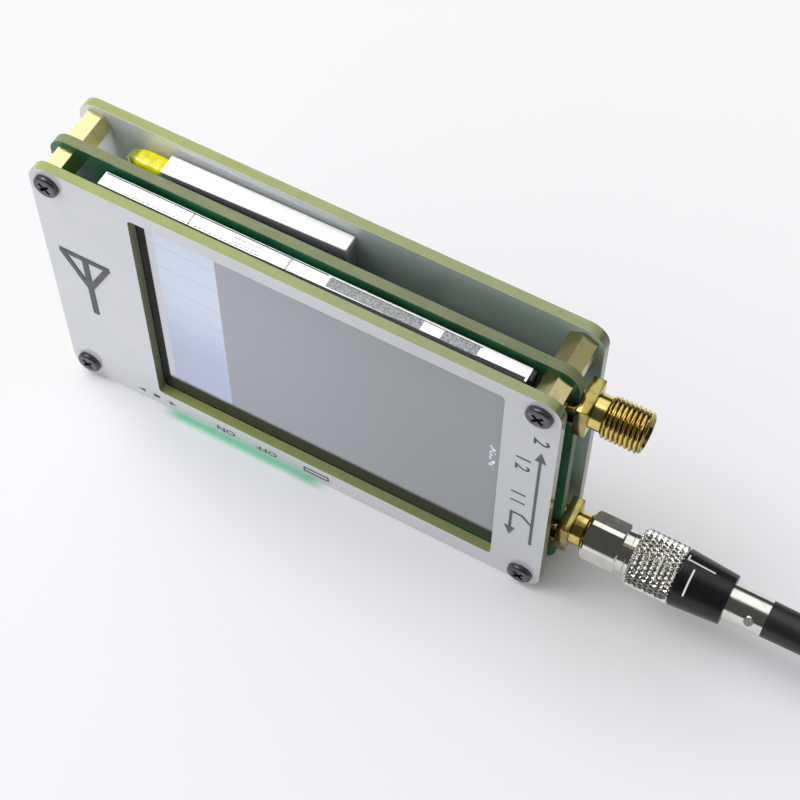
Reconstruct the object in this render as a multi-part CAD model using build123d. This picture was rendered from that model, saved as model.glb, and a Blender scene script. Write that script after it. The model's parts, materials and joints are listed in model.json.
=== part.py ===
from build123d import *
import math
import os

# Hand-held antenna analyser: three circuit boards stacked on hexagon standoffs, standing on
# their long edges. Sizes are in millimetres.
# X runs along the boards towards the coaxial jacks, Y from the screen to the back, Z up.
# The origin is under the middle of the analyser, on the surface that it stands on.

# How far a cutting solid runs past a face, and a joined feature into its base
PAST = 1.0
INTO = 0.5

# Boards and plates
PLATE_LENGTH = 85.5
PLATE_HEIGHT = 54.0
PLATE_THICKNESS = 1.6
BOARD_THICKNESS = 1.6
CORNER_RADIUS = 3.2
FRONT_GAP = 4.0
REAR_GAP = 6.0
HOLE_INSET = 3.2
SCREW_HOLE_RADIUS = 1.1

# Window of the front plate: widths of plate beside, under and over it
WINDOW_LEFT = 16.7
WINDOW_BOTTOM = 4.2
WINDOW_TOP = 2.9
WINDOW_RADIUS = 0.8

# Screws and standoffs, M2
THREAD_RADIUS = 0.97
TAPPED_RADIUS = 1.0
SCREW_HEAD_RADIUS = 2.05
SCREW_HEAD_HEIGHT = 0.9
SCREW_HEAD_ROUND = 0.42
CROSS_LENGTH = 2.3
CROSS_WIDTH = 0.55
CROSS_DEPTH = 0.5
STANDOFF_FLATS = 4.33
RIGHT_STANDOFF_TURN = 30.0
STUD_REACH = 1.8
SCREW_REACH = 1.8
REAR_SCREW_REACH = 3.4
BORE_END_GAP = 0.4

# Display module: how far it reaches past the window, and its gap to the right standoffs
DISPLAY_LEFT_LIP = 6.4
DISPLAY_RIGHT_LIP = 1.62
DISPLAY_LIP = 1.55
DISPLAY_STANDOFF_GAP = 1.5
TOUCH_THICKNESS = 1.0
TOUCH_GAP = 0.1
TOUCH_MARGIN = 0.3
FRAME_THICKNESS = 2.35
FRAME_WALL = 0.3
CELL_THICKNESS = 0.9
LAYER_CLEARANCE = 0.05
TAPE_WIDTH = 5.0
TAPE_INSET = 1.0
TAPE_RIBBON_GAP = 3.0
RIBBON_WIDTH = 30.0
RIBBON_THICKNESS = 0.15
RIBBON_RETURN = 9.0
RIBBON_OVERHANG = 1.0
RIBBON_BACKING = 0.1
RIBBON_SLOT_CLEARANCE = 0.5

# Coaxial jacks
FLANGE_SIDE = 6.35
FLANGE_THICKNESS = 2.0
JACK_NECK_RADIUS = 2.65
JACK_NECK_LENGTH = 1.9
JACK_THREAD_RADIUS = 3.175
JACK_THREAD_LENGTH = 6.1
JACK_MOUTH_RADIUS = 2.3
JACK_MOUTH_DEPTH = 1.9
JACK_BORE_RADIUS = 2.05
LOWER_JACK_RISE = 2.8
LEG_LENGTH = 4.2
LEG_WIDTH = 0.9
LEG_DEPTH = 1.1
LEG_OFFSET = 1.85
LEG_CLEARANCE = 0.2
CONTACT_RADIUS = 0.635
CONTACT_SOCKET_RADIUS = 0.47
CONTACT_SOCKET_DEPTH = 2.6
CONTACT_TAB_RADIUS = 0.38
CONTACT_TAB_LENGTH = 2.4
PART_CLEARANCE = 0.03

# Battery
BATTERY_LEFT = 16.5
BATTERY_LENGTH = 31.0
BATTERY_BOTTOM = 18.0
BATTERY_THICKNESS = 3.7
BATTERY_TOP_INSET = 2.0
BATTERY_BEVEL = 0.6
BATTERY_END_CUT = 0.5
BATTERY_TAB_LENGTH = 6.6
BATTERY_TAB_THICKNESS = 3.2
BATTERY_TAB_RISE = 7.0
BATTERY_TAB_ROUND = 1.0
BATTERY_TAB_DROP = 1.0
BATTERY_TAB_LIFT = 0.25
BATTERY_PAD_THICKNESS = 1.9
BATTERY_PAD_INSET = 2.5
BATTERY_PAD_END_INSET = 0.5
BATTERY_PAD_TOP_INSET = 0.8
WIRE_RADIUS = 0.5
WIRE_SPACING = 2.0
WIRE_BEND_RADIUS = 2.6
WIRE_INNER_BEND_RADIUS = 2.08
WIRE_RISE = 7.0
WIRE_DROP = 8.0
PLUG_LENGTH = 6.0
PLUG_PROUD = 2.0
PLUG_WIDTH = 4.6
PLUG_HEIGHT = 3.2
SOCKET_WALL = 0.5
BATTERY_PLUG_X = 5.8
BATTERY_PLUG_DROP = 30.0

# USB socket
USB_WIDTH = 8.94
USB_HEIGHT = 3.26
USB_DEPTH = 7.35
USB_WALL = 0.3
USB_CORNER = 1.3
USB_PLACE = 45.9
USB_TONGUE_WIDTH = 6.69
USB_TONGUE_THICKNESS = 0.7
USB_BASE_DEPTH = 2.2
USB_TONGUE_SETBACK = 0.8
EDGE_SETBACK = 0.4

# Power slide switch
SWITCH_PLACE = 32.9
SWITCH_LENGTH = 9.0
SWITCH_DEPTH = 3.6
SWITCH_HEIGHT = 3.2
SWITCH_WALL = 0.4
SWITCH_TRAVEL = 2.0
SWITCH_LEVER_WIDTH = 1.8
SWITCH_LEVER_THICKNESS = 1.4
SWITCH_LEVER_REACH = 2.0
SWITCH_SLIDER_LENGTH = 4.4
SWITCH_LEVER_ROUND = 0.25
SWITCH_GAP = 0.1

# Three-way jog switch
JOG_PLACE = 15.9
JOG_LENGTH = 10.4
JOG_HEIGHT = 3.6
JOG_WALL = 0.4
JOG_CAVITY_LENGTH = 8.0
JOG_LEVER_REACH = 2.2
JOG_PIVOT_HEIGHT = 1.7
JOG_PIN_RADIUS = 0.5
JOG_HUB_RADIUS = 1.1
JOG_STEM_WIDTH = 1.5
JOG_PAD_WIDTH = 4.4
JOG_PAD_HEIGHT = 1.3
JOG_PAD_PROUD = 0.3
JOG_PAD_ROUND = 0.52
JOG_LEVER_THICKNESS = 1.1
JOG_EAR_THICKNESS = 0.6
JOG_PLUNGER_WIDTH = 3.2
JOG_PLUNGER_HEIGHT = 0.8
JOG_EAR_RADIUS = 1.2
JOG_PRESS_TRAVEL = 0.5
JOG_SPRING_SPACE = 0.6
JOG_GAP = 0.1
PIN_CLEARANCE = 0.05

# Small parts on the main board: length along X, height along Z, thickness off the board
CONTROLLER_SIDE = 7.0
CONTROLLER_THICKNESS = 1.4
CONTROLLER_PLACE = (33.5, 12.6)
CODEC_SIDE = 5.0
CODEC_THICKNESS = 0.9
CODEC_PLACE = (24.6, 13.0)
SMALL_CHIP_WIDTH = 3.9
SMALL_CHIP_LENGTH = 4.9
SMALL_CHIP_THICKNESS = 1.4
SMALL_CHIP_LEAD_COUNT = 4
SMALL_CHIP_PITCH = 1.27
CHARGER_PLACE = (55.2, 5.6)
CLOCK_SIDE = 3.0
CLOCK_THICKNESS = 0.9
CLOCK_RISE = 6.0
CLOCK_BATTERY_SPACE = 6.5
FINE_PITCH = 0.5
CONTROLLER_LEAD_COUNT = 12
CLOCK_LEAD_COUNT = 5
LEAD_WIDTH = 0.22
LEAD_THICKNESS = 0.15
LEAD_REACH = 1.0
LEAD_KNEE = 0.4
SHIELD_CLOCK_SPACE = 4.5
SHIELD_RIGHT_MARGIN = 7.0
SHIELD_HEIGHT = 26.0
SHIELD_THICKNESS = 2.8
SHIELD_WALL = 0.2
SHIELD_ROUND = 0.6
SHIELD_PARTS_PITCH = 8.67
CRYSTAL_LENGTH = 5.0
CRYSTAL_WIDTH = 3.2
CRYSTAL_THICKNESS = 1.1
CRYSTAL_ROUND = 0.5
CRYSTAL_PLACE = (44.5, 12.0)
CLOCK_CRYSTAL_RISE = 6.5
INDUCTOR_SIDE = 4.0
INDUCTOR_THICKNESS = 2.0
INDUCTOR_ROUND = 0.8
INDUCTOR_PLACE = (62.5, 6.0)
CHIP_LENGTH = 1.0
CHIP_WIDTH = 0.5
CHIP_THICKNESS = 0.45
CHIP_PITCH = 1.6
CHIP_ROW_SPACING = 2.0
FILTER_ROW_COUNT = 5
CODEC_ROW_COUNT = 3
SWITCH_ROW_COUNT = 4
CLOCK_ROW_COUNT = 8
JACK_ROW_COUNT = 12
FILTER_ROW_START = (50.5, 10.2)
CODEC_ROW_START = (38.4, 9.6)
SWITCH_ROW_START = (18.6, 10.4)
CLOCK_CAPACITOR_SPACE = 3.4
CLOCK_RESISTOR_SPACE = 3.0
CLOCK_ROW_RISE = 1.0
JACK_ROW_SPACE = 4.5
JACK_ROW_MARGIN = 2.9
LED_LENGTH = 1.6
LED_WIDTH = 0.8
LED_THICKNESS = 0.7
LED_PLACES = (29.0, 37.0)

# Test lead
NUT_FLATS = 7.2
NUT_CORNER_RADIUS = 3.95
NUT_LENGTH = 6.9
NUT_TURNED_LENGTH = 1.2
NUT_TURNED_RADIUS = 3.5
NUT_BORE_CLEARANCE = 0.1
NUT_LIP_THICKNESS = 0.7
NUT_CORNER_CUT = 0.3
PLUG_TUBE_RADIUS = 2.2
PLUG_TUBE_WALL = 0.35
PLUG_TUBE_REACH = 1.5
PLUG_SHOULDER_RADIUS = 3.1
PLUG_SHOULDER_LENGTH = 0.5
PLUG_PIN_RADIUS = 0.4
PLUG_PIN_REACH = 2.8
COLLAR_RADIUS = 3.6
COLLAR_LENGTH = 0.6
RING_RADIUS = 4.65
RING_LENGTH = 7.3
RING_BORE_RADIUS = 3.4
RING_CLEARANCE = 0.08
RING_CORNER_CUT = 0.3
BARREL_RADIUS = 4.6
BARREL_END_RADIUS = 4.0
BARREL_LENGTH = 8.0
SLEEVE_RADIUS = 2.95
SLEEVE_LENGTH = 6.2
SLEEVE_STUD_RADIUS = 0.75
SLEEVE_STUD_REACH = 0.35
SLEEVE_STUD_PLACE = 4.0
SLEEVE_STUD_TURN = 57.0
BOOT_RADIUS = 2.9
BOOT_END_RADIUS = 2.65
BOOT_LENGTH = 20.0
CABLE_RADIUS = 2.5
CABLE_TUBE_LIFT = 0.1
FAR_NUT_LIFT = 0.15
HANK_RUN = 75.0
HANK_FOLD_RADIUS = 15.0
HANK_TURNS = 2
HANK_AHEAD = 34.5
HANK_FRONT_REACH = 1.2
HANK_EDGE_ROUND = 2.0
TIE_WIDTH = 9.0
TIE_THICKNESS = 0.4
FERRULE_RADIUS = 3.0
FERRULE_LENGTH = 8.0
FAR_BOOT_LENGTH = 16.0

# Places and sizes that follow from the sizes above
JACK_REACH = FLANGE_THICKNESS + JACK_NECK_LENGTH + JACK_THREAD_LENGTH
LEFT_X = -(PLATE_LENGTH + JACK_REACH) / 2
RIGHT_X = LEFT_X + PLATE_LENGTH
STACK = 2 * PLATE_THICKNESS + BOARD_THICKNESS + FRONT_GAP + REAR_GAP
FRONT_FACE_Y = -STACK / 2
FRONT_PLATE_BACK_Y = FRONT_FACE_Y + PLATE_THICKNESS
BOARD_FRONT_Y = FRONT_PLATE_BACK_Y + FRONT_GAP
BOARD_BACK_Y = BOARD_FRONT_Y + BOARD_THICKNESS
BACK_PLATE_FRONT_Y = BOARD_BACK_Y + REAR_GAP
BACK_FACE_Y = BACK_PLATE_FRONT_Y + PLATE_THICKNESS
HOLE_PLACES = [
    (x, z)
    for x in (LEFT_X + HOLE_INSET, RIGHT_X - HOLE_INSET)
    for z in (HOLE_INSET, PLATE_HEIGHT - HOLE_INSET)
]
STANDOFF_CORNER = STANDOFF_FLATS / math.sqrt(3)
DISPLAY_X1 = RIGHT_X - HOLE_INSET - STANDOFF_FLATS / 2 - DISPLAY_STANDOFF_GAP
WINDOW_X0 = LEFT_X + WINDOW_LEFT
WINDOW_X1 = DISPLAY_X1 - DISPLAY_RIGHT_LIP
WINDOW_Z1 = PLATE_HEIGHT - WINDOW_TOP
DISPLAY_X0 = WINDOW_X0 - DISPLAY_LEFT_LIP
DISPLAY_Z0 = WINDOW_BOTTOM - DISPLAY_LIP
DISPLAY_Z1 = WINDOW_Z1 + DISPLAY_LIP
TOUCH_Y0 = FRONT_PLATE_BACK_Y + TOUCH_GAP
FRAME_Y0 = TOUCH_Y0 + TOUCH_THICKNESS
FRAME_Y1 = FRAME_Y0 + FRAME_THICKNESS
RIBBON_Z0 = (DISPLAY_Z0 + DISPLAY_Z1 - RIBBON_WIDTH) / 2
RIBBON_Z1 = RIBBON_Z0 + RIBBON_WIDTH
JACK_Y = BOARD_BACK_Y
JACK_INSET = HOLE_INSET + STANDOFF_CORNER + LEG_CLEARANCE + LEG_OFFSET + LEG_WIDTH / 2
UPPER_JACK_Z = PLATE_HEIGHT - JACK_INSET
LOWER_JACK_Z = JACK_INSET + LOWER_JACK_RISE
JACK_FACE_X = RIGHT_X + JACK_REACH
JACK_THREAD_X = RIGHT_X + FLANGE_THICKNESS + JACK_NECK_LENGTH


def block(x0, x1, y0, y1, z0, z1):
    """A box between two corners."""
    centre = ((x0 + x1) / 2, (y0 + y1) / 2, (z0 + z1) / 2)
    return Pos(*centre) * Box(x1 - x0, y1 - y0, z1 - z0)


def rod_x(x0, x1, y, z, radius):
    return Pos((x0 + x1) / 2, y, z) * Rot(0, 90, 0) * Cylinder(radius, x1 - x0)


def rod_y(x, y0, y1, z, radius):
    return Pos(x, (y0 + y1) / 2, z) * Rot(90, 0, 0) * Cylinder(radius, y1 - y0)


def cone_x(x0, x1, y, z, radius0, radius1):
    return Pos((x0 + x1) / 2, y, z) * Rot(0, 90, 0) * Cone(radius0, radius1, x1 - x0)


def hexagon_x(x0, x1, y, z, flats):
    outline = RegularPolygon(flats / 2, 6, major_radius=False)
    return Pos(x0, y, z) * Rot(0, 90, 0) * extrude(outline, x1 - x0)


def standoff_hexagon(x, y0, y1, z):
    """Those at the left have a flat on top, and those at the right a corner."""
    turn = RIGHT_STANDOFF_TURN if x > 0 else 0
    outline = RegularPolygon(STANDOFF_FLATS / 2, 6, major_radius=False, rotation=turn)
    return Pos(x, y0, z) * Rot(-90, 0, 0) * extrude(outline, y1 - y0)


def rounded(solid, axis, radius):
    """The solid with its edges along one axis rounded."""
    return fillet(solid.edges().filter_by(axis), radius)


def group(solids):
    return Compound(children=[part for part in solids])


def on_board_back(place, size_x, size_z, thickness):
    """A block soldered to the back of the main board, centred on a place (along, up)."""
    x = LEFT_X + place[0]
    return block(
        x - size_x / 2, x + size_x / 2,
        BOARD_BACK_Y, BOARD_BACK_Y + thickness,
        place[1] - size_z / 2, place[1] + size_z / 2,
    )


# Plates, standoffs and screws

def drilled_plate(y0, thickness):
    plate = block(LEFT_X, RIGHT_X, y0, y0 + thickness, 0, PLATE_HEIGHT)
    plate = rounded(plate, Axis.Y, CORNER_RADIUS)
    for x, z in HOLE_PLACES:
        plate -= rod_y(x, y0 - PAST, y0 + thickness + PAST, z, SCREW_HOLE_RADIUS)
    return plate


def make_front_plate():
    window = block(
        WINDOW_X0, WINDOW_X1,
        FRONT_FACE_Y - PAST, FRONT_PLATE_BACK_Y + PAST,
        WINDOW_BOTTOM, WINDOW_Z1,
    )
    return drilled_plate(FRONT_FACE_Y, PLATE_THICKNESS) - rounded(window, Axis.Y, WINDOW_RADIUS)


def make_front_standoffs():
    parts = []
    for x, z in HOLE_PLACES:
        body = standoff_hexagon(x, FRONT_PLATE_BACK_Y, BOARD_FRONT_Y, z)
        body -= rod_y(x, FRONT_PLATE_BACK_Y - PAST, BOARD_FRONT_Y + PAST, z, TAPPED_RADIUS)
        parts.append(body)
    return group(parts)


def make_rear_standoffs():
    bore_depth = REAR_SCREW_REACH + BORE_END_GAP
    parts = []
    for x, z in HOLE_PLACES:
        body = standoff_hexagon(x, BOARD_BACK_Y, BACK_PLATE_FRONT_Y, z)
        body += rod_y(x, BOARD_FRONT_Y - STUD_REACH, BOARD_BACK_Y + INTO, z, THREAD_RADIUS)
        bore_y = BACK_PLATE_FRONT_Y - bore_depth
        body -= rod_y(x, bore_y, BACK_PLATE_FRONT_Y + PAST, z, TAPPED_RADIUS)
        parts.append(body)
    return group(parts)


def screw(x, z, face_y, outward, reach):
    """A pan-head screw; outward is -1 for a front screw and +1 for a rear one."""
    head_top = face_y + outward * SCREW_HEAD_HEIGHT
    tip = face_y - outward * (PLATE_THICKNESS + reach)
    head = rod_y(x, min(face_y, head_top), max(face_y, head_top), z, SCREW_HEAD_RADIUS)
    rim = head.edges().filter_by(GeomType.CIRCLE).sort_by(Axis.Y)[0 if outward < 0 else -1]
    head = fillet(rim, SCREW_HEAD_ROUND)
    body = head + rod_y(x, min(face_y, tip), max(face_y, tip), z, THREAD_RADIUS)
    recess_y = head_top - outward * CROSS_DEPTH / 2
    for turn in (45, 135):
        body -= Pos(x, recess_y, z) * Rot(0, turn, 0) * Box(CROSS_LENGTH, CROSS_DEPTH, CROSS_WIDTH)
    return body


def make_front_screws():
    return group([screw(x, z, FRONT_FACE_Y, -1, SCREW_REACH) for x, z in HOLE_PLACES])


def make_rear_screws():
    return group([screw(x, z, BACK_FACE_Y, 1, REAR_SCREW_REACH) for x, z in HOLE_PLACES])


# Display module

def make_touch_panel():
    return block(
        DISPLAY_X0 + TOUCH_MARGIN, DISPLAY_X1 - TOUCH_MARGIN,
        TOUCH_Y0, TOUCH_Y0 + TOUCH_THICKNESS,
        DISPLAY_Z0 + TOUCH_MARGIN, DISPLAY_Z1 - TOUCH_MARGIN,
    )


def make_display_frame():
    tray = block(DISPLAY_X0, DISPLAY_X1, FRAME_Y0, FRAME_Y1, DISPLAY_Z0, DISPLAY_Z1)
    hollow = block(
        DISPLAY_X0 + FRAME_WALL, DISPLAY_X1 - FRAME_WALL,
        FRAME_Y0 - PAST, FRAME_Y1 - FRAME_WALL,
        DISPLAY_Z0 + FRAME_WALL, DISPLAY_Z1 - FRAME_WALL,
    )
    ribbon_slot = block(
        DISPLAY_X1 - PAST, DISPLAY_X1 + PAST,
        FRAME_Y0 - PAST, FRAME_Y0 + CELL_THICKNESS,
        RIBBON_Z0 - RIBBON_SLOT_CLEARANCE, RIBBON_Z1 + RIBBON_SLOT_CLEARANCE,
    )
    return tray - hollow - ribbon_slot


def display_layer(y0, y1):
    inset = FRAME_WALL + LAYER_CLEARANCE
    return block(
        DISPLAY_X0 + inset, DISPLAY_X1 - inset, y0, y1, DISPLAY_Z0 + inset, DISPLAY_Z1 - inset
    )


def make_display_cell():
    return display_layer(FRAME_Y0, FRAME_Y0 + CELL_THICKNESS)


def make_backlight():
    return display_layer(FRAME_Y0 + CELL_THICKNESS, FRAME_Y1 - FRAME_WALL)


def make_display_tape():
    """Two strips of foam tape that hold the display module to the main board."""
    z0 = DISPLAY_Z0 + TAPE_INSET
    z1 = DISPLAY_Z1 - TAPE_INSET
    right_x = DISPLAY_X1 - RIBBON_RETURN - TAPE_RIBBON_GAP - TAPE_WIDTH
    return group([
        block(x, x + TAPE_WIDTH, FRAME_Y1, BOARD_FRONT_Y, z0, z1)
        for x in (DISPLAY_X0 + TAPE_INSET, right_x)
    ])


def make_display_ribbon():
    """The flat cable: out of the end of the cell, round, and back onto the main board."""
    y0 = FRAME_Y0 + CELL_THICKNESS - RIBBON_THICKNESS - RIBBON_BACKING
    y1 = BOARD_FRONT_Y - RIBBON_THICKNESS
    bend = (y1 + RIBBON_THICKNESS - y0) / 2
    mid_y = y0 + bend
    x_bend = DISPLAY_X1 + RIBBON_OVERHANG
    x_out = DISPLAY_X1 - FRAME_WALL - LAYER_CLEARANCE
    x_end = x_bend - RIBBON_RETURN
    top = block(x_out, x_bend, y0, y0 + RIBBON_THICKNESS, RIBBON_Z0, RIBBON_Z1)
    low = block(x_end, x_bend, y1, y1 + RIBBON_THICKNESS, RIBBON_Z0, RIBBON_Z1)
    ring = Cylinder(bend, RIBBON_WIDTH) - Cylinder(bend - RIBBON_THICKNESS, RIBBON_WIDTH)
    ring = Pos(x_bend, mid_y, (RIBBON_Z0 + RIBBON_Z1) / 2) * ring
    half = block(x_bend, x_bend + bend + PAST, y0 - PAST, y1 + PAST, RIBBON_Z0, RIBBON_Z1)
    return top + low + (ring & half)


# Coaxial jacks

def jack_heights():
    return (UPPER_JACK_Z, LOWER_JACK_Z)


def jack_body(z):
    half = FLANGE_SIDE / 2
    flange_x = RIGHT_X + FLANGE_THICKNESS
    body = block(RIGHT_X, flange_x, JACK_Y - half, JACK_Y + half, z - half, z + half)
    body += rod_x(flange_x - INTO, JACK_THREAD_X + INTO, JACK_Y, z, JACK_NECK_RADIUS)
    body += rod_x(JACK_THREAD_X, JACK_FACE_X, JACK_Y, z, JACK_THREAD_RADIUS)
    for y0 in (BOARD_FRONT_Y - LEG_DEPTH, BOARD_BACK_Y):
        for offset in (-LEG_OFFSET, LEG_OFFSET):
            body += block(
                RIGHT_X - LEG_LENGTH, RIGHT_X + INTO, y0, y0 + LEG_DEPTH,
                z + offset - LEG_WIDTH / 2, z + offset + LEG_WIDTH / 2,
            )
    body -= rod_x(RIGHT_X - PAST, JACK_FACE_X + PAST, JACK_Y, z, JACK_BORE_RADIUS)
    mouth_x = JACK_FACE_X - JACK_MOUTH_DEPTH
    return body - rod_x(mouth_x, JACK_FACE_X + PAST, JACK_Y, z, JACK_MOUTH_RADIUS)


def jack_insulator(z):
    face = JACK_FACE_X - JACK_MOUTH_DEPTH
    body = rod_x(RIGHT_X, face, JACK_Y, z, JACK_BORE_RADIUS - PART_CLEARANCE)
    return body - rod_x(RIGHT_X - PAST, face + PAST, JACK_Y, z, CONTACT_RADIUS + PART_CLEARANCE)


def jack_contact(z):
    face = JACK_FACE_X - JACK_MOUTH_DEPTH
    tab_x = RIGHT_X - CONTACT_TAB_LENGTH
    tab = rod_x(tab_x, RIGHT_X + INTO, JACK_Y, z, CONTACT_TAB_RADIUS)
    tab &= block(tab_x, RIGHT_X + INTO, BOARD_BACK_Y, BOARD_BACK_Y + PAST, z - PAST, z + PAST)
    body = rod_x(RIGHT_X, face, JACK_Y, z, CONTACT_RADIUS) + tab
    socket_x = face - CONTACT_SOCKET_DEPTH
    return body - rod_x(socket_x, face + PAST, JACK_Y, z, CONTACT_SOCKET_RADIUS)


# Battery, its pad, plug and wires

def battery_box():
    x0 = LEFT_X + BATTERY_LEFT
    y0 = BOARD_BACK_Y + BATTERY_PAD_THICKNESS
    z1 = PLATE_HEIGHT - BATTERY_TOP_INSET
    return x0, x0 + BATTERY_LENGTH, y0, y0 + BATTERY_THICKNESS, BATTERY_BOTTOM, z1


def make_battery_cell():
    x0, x1, y0, y1, z0, z1 = battery_box()
    body = block(x0, x1, y0, y1, z0, z1)
    body = rounded(body, Axis.X, BATTERY_BEVEL)
    end = body.faces().sort_by(Axis.X)[-1]
    return chamfer(end.edges(), BATTERY_END_CUT)


def make_battery_board():
    """The protection board and folded end of the pouch, wrapped in amber tape."""
    x1, _, y0, _, z0, z1 = battery_box()
    y0 += BATTERY_TAB_LIFT
    body = block(
        x1 - BATTERY_TAB_LENGTH, x1,
        y0, y0 + BATTERY_TAB_THICKNESS,
        z0 + BATTERY_TAB_RISE, z1 - BATTERY_TAB_DROP,
    )
    return rounded(body, Axis.Z, BATTERY_TAB_ROUND)


def make_battery_pad():
    x0, x1, y0, _, z0, z1 = battery_box()
    return block(
        x0 + BATTERY_PAD_INSET, x1 - BATTERY_PAD_END_INSET, BOARD_BACK_Y, y0,
        z0 + BATTERY_PAD_INSET, z1 - BATTERY_PAD_TOP_INSET,
    )


def battery_plug_span():
    """Lowest and highest places of the plug: along X, and up."""
    x = LEFT_X + BATTERY_PLUG_X
    z = battery_box()[-1] - BATTERY_PLUG_DROP
    return x - PLUG_WIDTH / 2, x + PLUG_WIDTH / 2, z, z + PLUG_LENGTH


def make_battery_socket():
    x0, x1, z0, z1 = battery_plug_span()
    wall = SOCKET_WALL + PART_CLEARANCE
    outer = block(
        x0 - wall, x1 + wall,
        BOARD_BACK_Y, BOARD_BACK_Y + PLUG_HEIGHT + 2 * wall,
        z0 - wall, z1 - PLUG_PROUD,
    )
    return outer - block(
        x0 - PART_CLEARANCE, x1 + PART_CLEARANCE,
        BOARD_BACK_Y + SOCKET_WALL, BOARD_BACK_Y + wall + PLUG_HEIGHT + PART_CLEARANCE,
        z0 - PART_CLEARANCE, z1,
    )


def make_battery_plug():
    x0, x1, z0, z1 = battery_plug_span()
    y0 = BOARD_BACK_Y + SOCKET_WALL + PART_CLEARANCE
    return block(x0, x1, y0, y0 + PLUG_HEIGHT, z0, z1)


def make_battery_wires():
    """Two short wires from the end of the battery down into the plug."""
    x0, x1, _, z1 = battery_plug_span()
    bx0, _, by0, _, _, bz1 = battery_box()
    plug_y = BOARD_BACK_Y + SOCKET_WALL + PART_CLEARANCE + PLUG_HEIGHT / 2
    cell_y = by0 + BATTERY_TAB_LIFT + BATTERY_TAB_THICKNESS / 2
    wires = []
    for side in (-1, 1):
        x = (x0 + x1) / 2 + side * WIRE_SPACING / 2
        top_z = bz1 - WIRE_DROP + side * WIRE_SPACING
        path = FilletPolyline(
            (x, plug_y, z1),
            (x, plug_y, z1 + WIRE_RISE),
            (x, cell_y, top_z),
            (bx0 - BATTERY_TAB_LENGTH, cell_y, top_z),
            radius=WIRE_BEND_RADIUS if side < 0 else WIRE_INNER_BEND_RADIUS,
        )
        wires.append(sweep(Plane(origin=path @ 0, z_dir=path % 0) * Circle(WIRE_RADIUS), path))
    return group(wires)


# USB socket

def make_usb_shell():
    x = LEFT_X + USB_PLACE
    y = BOARD_BACK_Y + USB_HEIGHT / 2
    outer = extrude(RectangleRounded(USB_WIDTH, USB_HEIGHT, USB_CORNER), USB_DEPTH)
    inner = extrude(
        RectangleRounded(USB_WIDTH - 2 * USB_WALL, USB_HEIGHT - 2 * USB_WALL, USB_CORNER - USB_WALL),
        USB_DEPTH,
    )
    return Pos(x, y, EDGE_SETBACK) * (outer - inner)


def make_usb_tongue():
    x = LEFT_X + USB_PLACE
    y = BOARD_BACK_Y + USB_HEIGHT / 2
    slack = 2 * (USB_WALL + PART_CLEARANCE)
    outline = RectangleRounded(USB_WIDTH - slack, USB_HEIGHT - slack, USB_CORNER - USB_WALL)
    base_z = EDGE_SETBACK + USB_DEPTH - USB_BASE_DEPTH
    base = Pos(x, y, base_z) * extrude(outline, USB_BASE_DEPTH)
    tongue = block(
        x - USB_TONGUE_WIDTH / 2, x + USB_TONGUE_WIDTH / 2,
        y - USB_TONGUE_THICKNESS / 2, y + USB_TONGUE_THICKNESS / 2,
        EDGE_SETBACK + USB_TONGUE_SETBACK, base_z + INTO,
    )
    return base + tongue


# Power slide switch: at rest it is at its ON end, and it slides by SWITCH_TRAVEL towards +X

SWITCH_X = LEFT_X + SWITCH_PLACE
SWITCH_Z0 = EDGE_SETBACK + SWITCH_LEVER_REACH
SLIDER_X = SWITCH_X - SWITCH_TRAVEL / 2


def make_power_switch_body():
    y1 = BOARD_BACK_Y + SWITCH_HEIGHT
    z1 = SWITCH_Z0 + SWITCH_DEPTH
    half = SWITCH_LENGTH / 2
    body = block(SWITCH_X - half, SWITCH_X + half, BOARD_BACK_Y, y1, SWITCH_Z0, z1)
    reach = (SWITCH_SLIDER_LENGTH + SWITCH_TRAVEL) / 2 + SWITCH_GAP
    body -= block(
        SWITCH_X - reach, SWITCH_X + reach,
        BOARD_BACK_Y + SWITCH_WALL, y1 - SWITCH_WALL,
        SWITCH_Z0 + SWITCH_WALL, z1 - SWITCH_WALL,
    )
    slot = (SWITCH_LEVER_WIDTH + SWITCH_TRAVEL) / 2 + SWITCH_GAP
    mid_y = BOARD_BACK_Y + SWITCH_HEIGHT / 2
    thick = SWITCH_LEVER_THICKNESS / 2 + SWITCH_GAP
    body -= block(
        SWITCH_X - slot, SWITCH_X + slot,
        mid_y - thick, mid_y + thick,
        SWITCH_Z0 - PAST, SWITCH_Z0 + SWITCH_WALL + PAST,
    )
    return body


def make_power_slider():
    inset = SWITCH_WALL + SWITCH_GAP
    mid_y = BOARD_BACK_Y + SWITCH_HEIGHT / 2
    half = SWITCH_SLIDER_LENGTH / 2
    base = block(
        SLIDER_X - half, SLIDER_X + half,
        BOARD_BACK_Y + inset, BOARD_BACK_Y + SWITCH_HEIGHT - inset,
        SWITCH_Z0 + inset, SWITCH_Z0 + SWITCH_DEPTH - inset,
    )
    lever = block(
        SLIDER_X - SWITCH_LEVER_WIDTH / 2, SLIDER_X + SWITCH_LEVER_WIDTH / 2,
        mid_y - SWITCH_LEVER_THICKNESS / 2, mid_y + SWITCH_LEVER_THICKNESS / 2,
        EDGE_SETBACK, SWITCH_Z0 + inset + INTO,
    )
    return base + rounded(lever, Axis.Y, SWITCH_LEVER_ROUND)


# Three-way jog switch: the lever rocks to both sides on a plunger that can be pressed inwards

JOG_X = LEFT_X + JOG_PLACE
JOG_Z0 = EDGE_SETBACK + JOG_LEVER_REACH
JOG_PIVOT_Z = JOG_Z0 + JOG_PIVOT_HEIGHT
JOG_Y = BOARD_BACK_Y + JOG_HEIGHT / 2
JOG_CROWN_Z = JOG_PIVOT_Z + JOG_HUB_RADIUS + JOG_GAP
JOG_CEILING_Z = JOG_CROWN_Z + JOG_PLUNGER_HEIGHT + JOG_PRESS_TRAVEL + JOG_SPRING_SPACE


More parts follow.
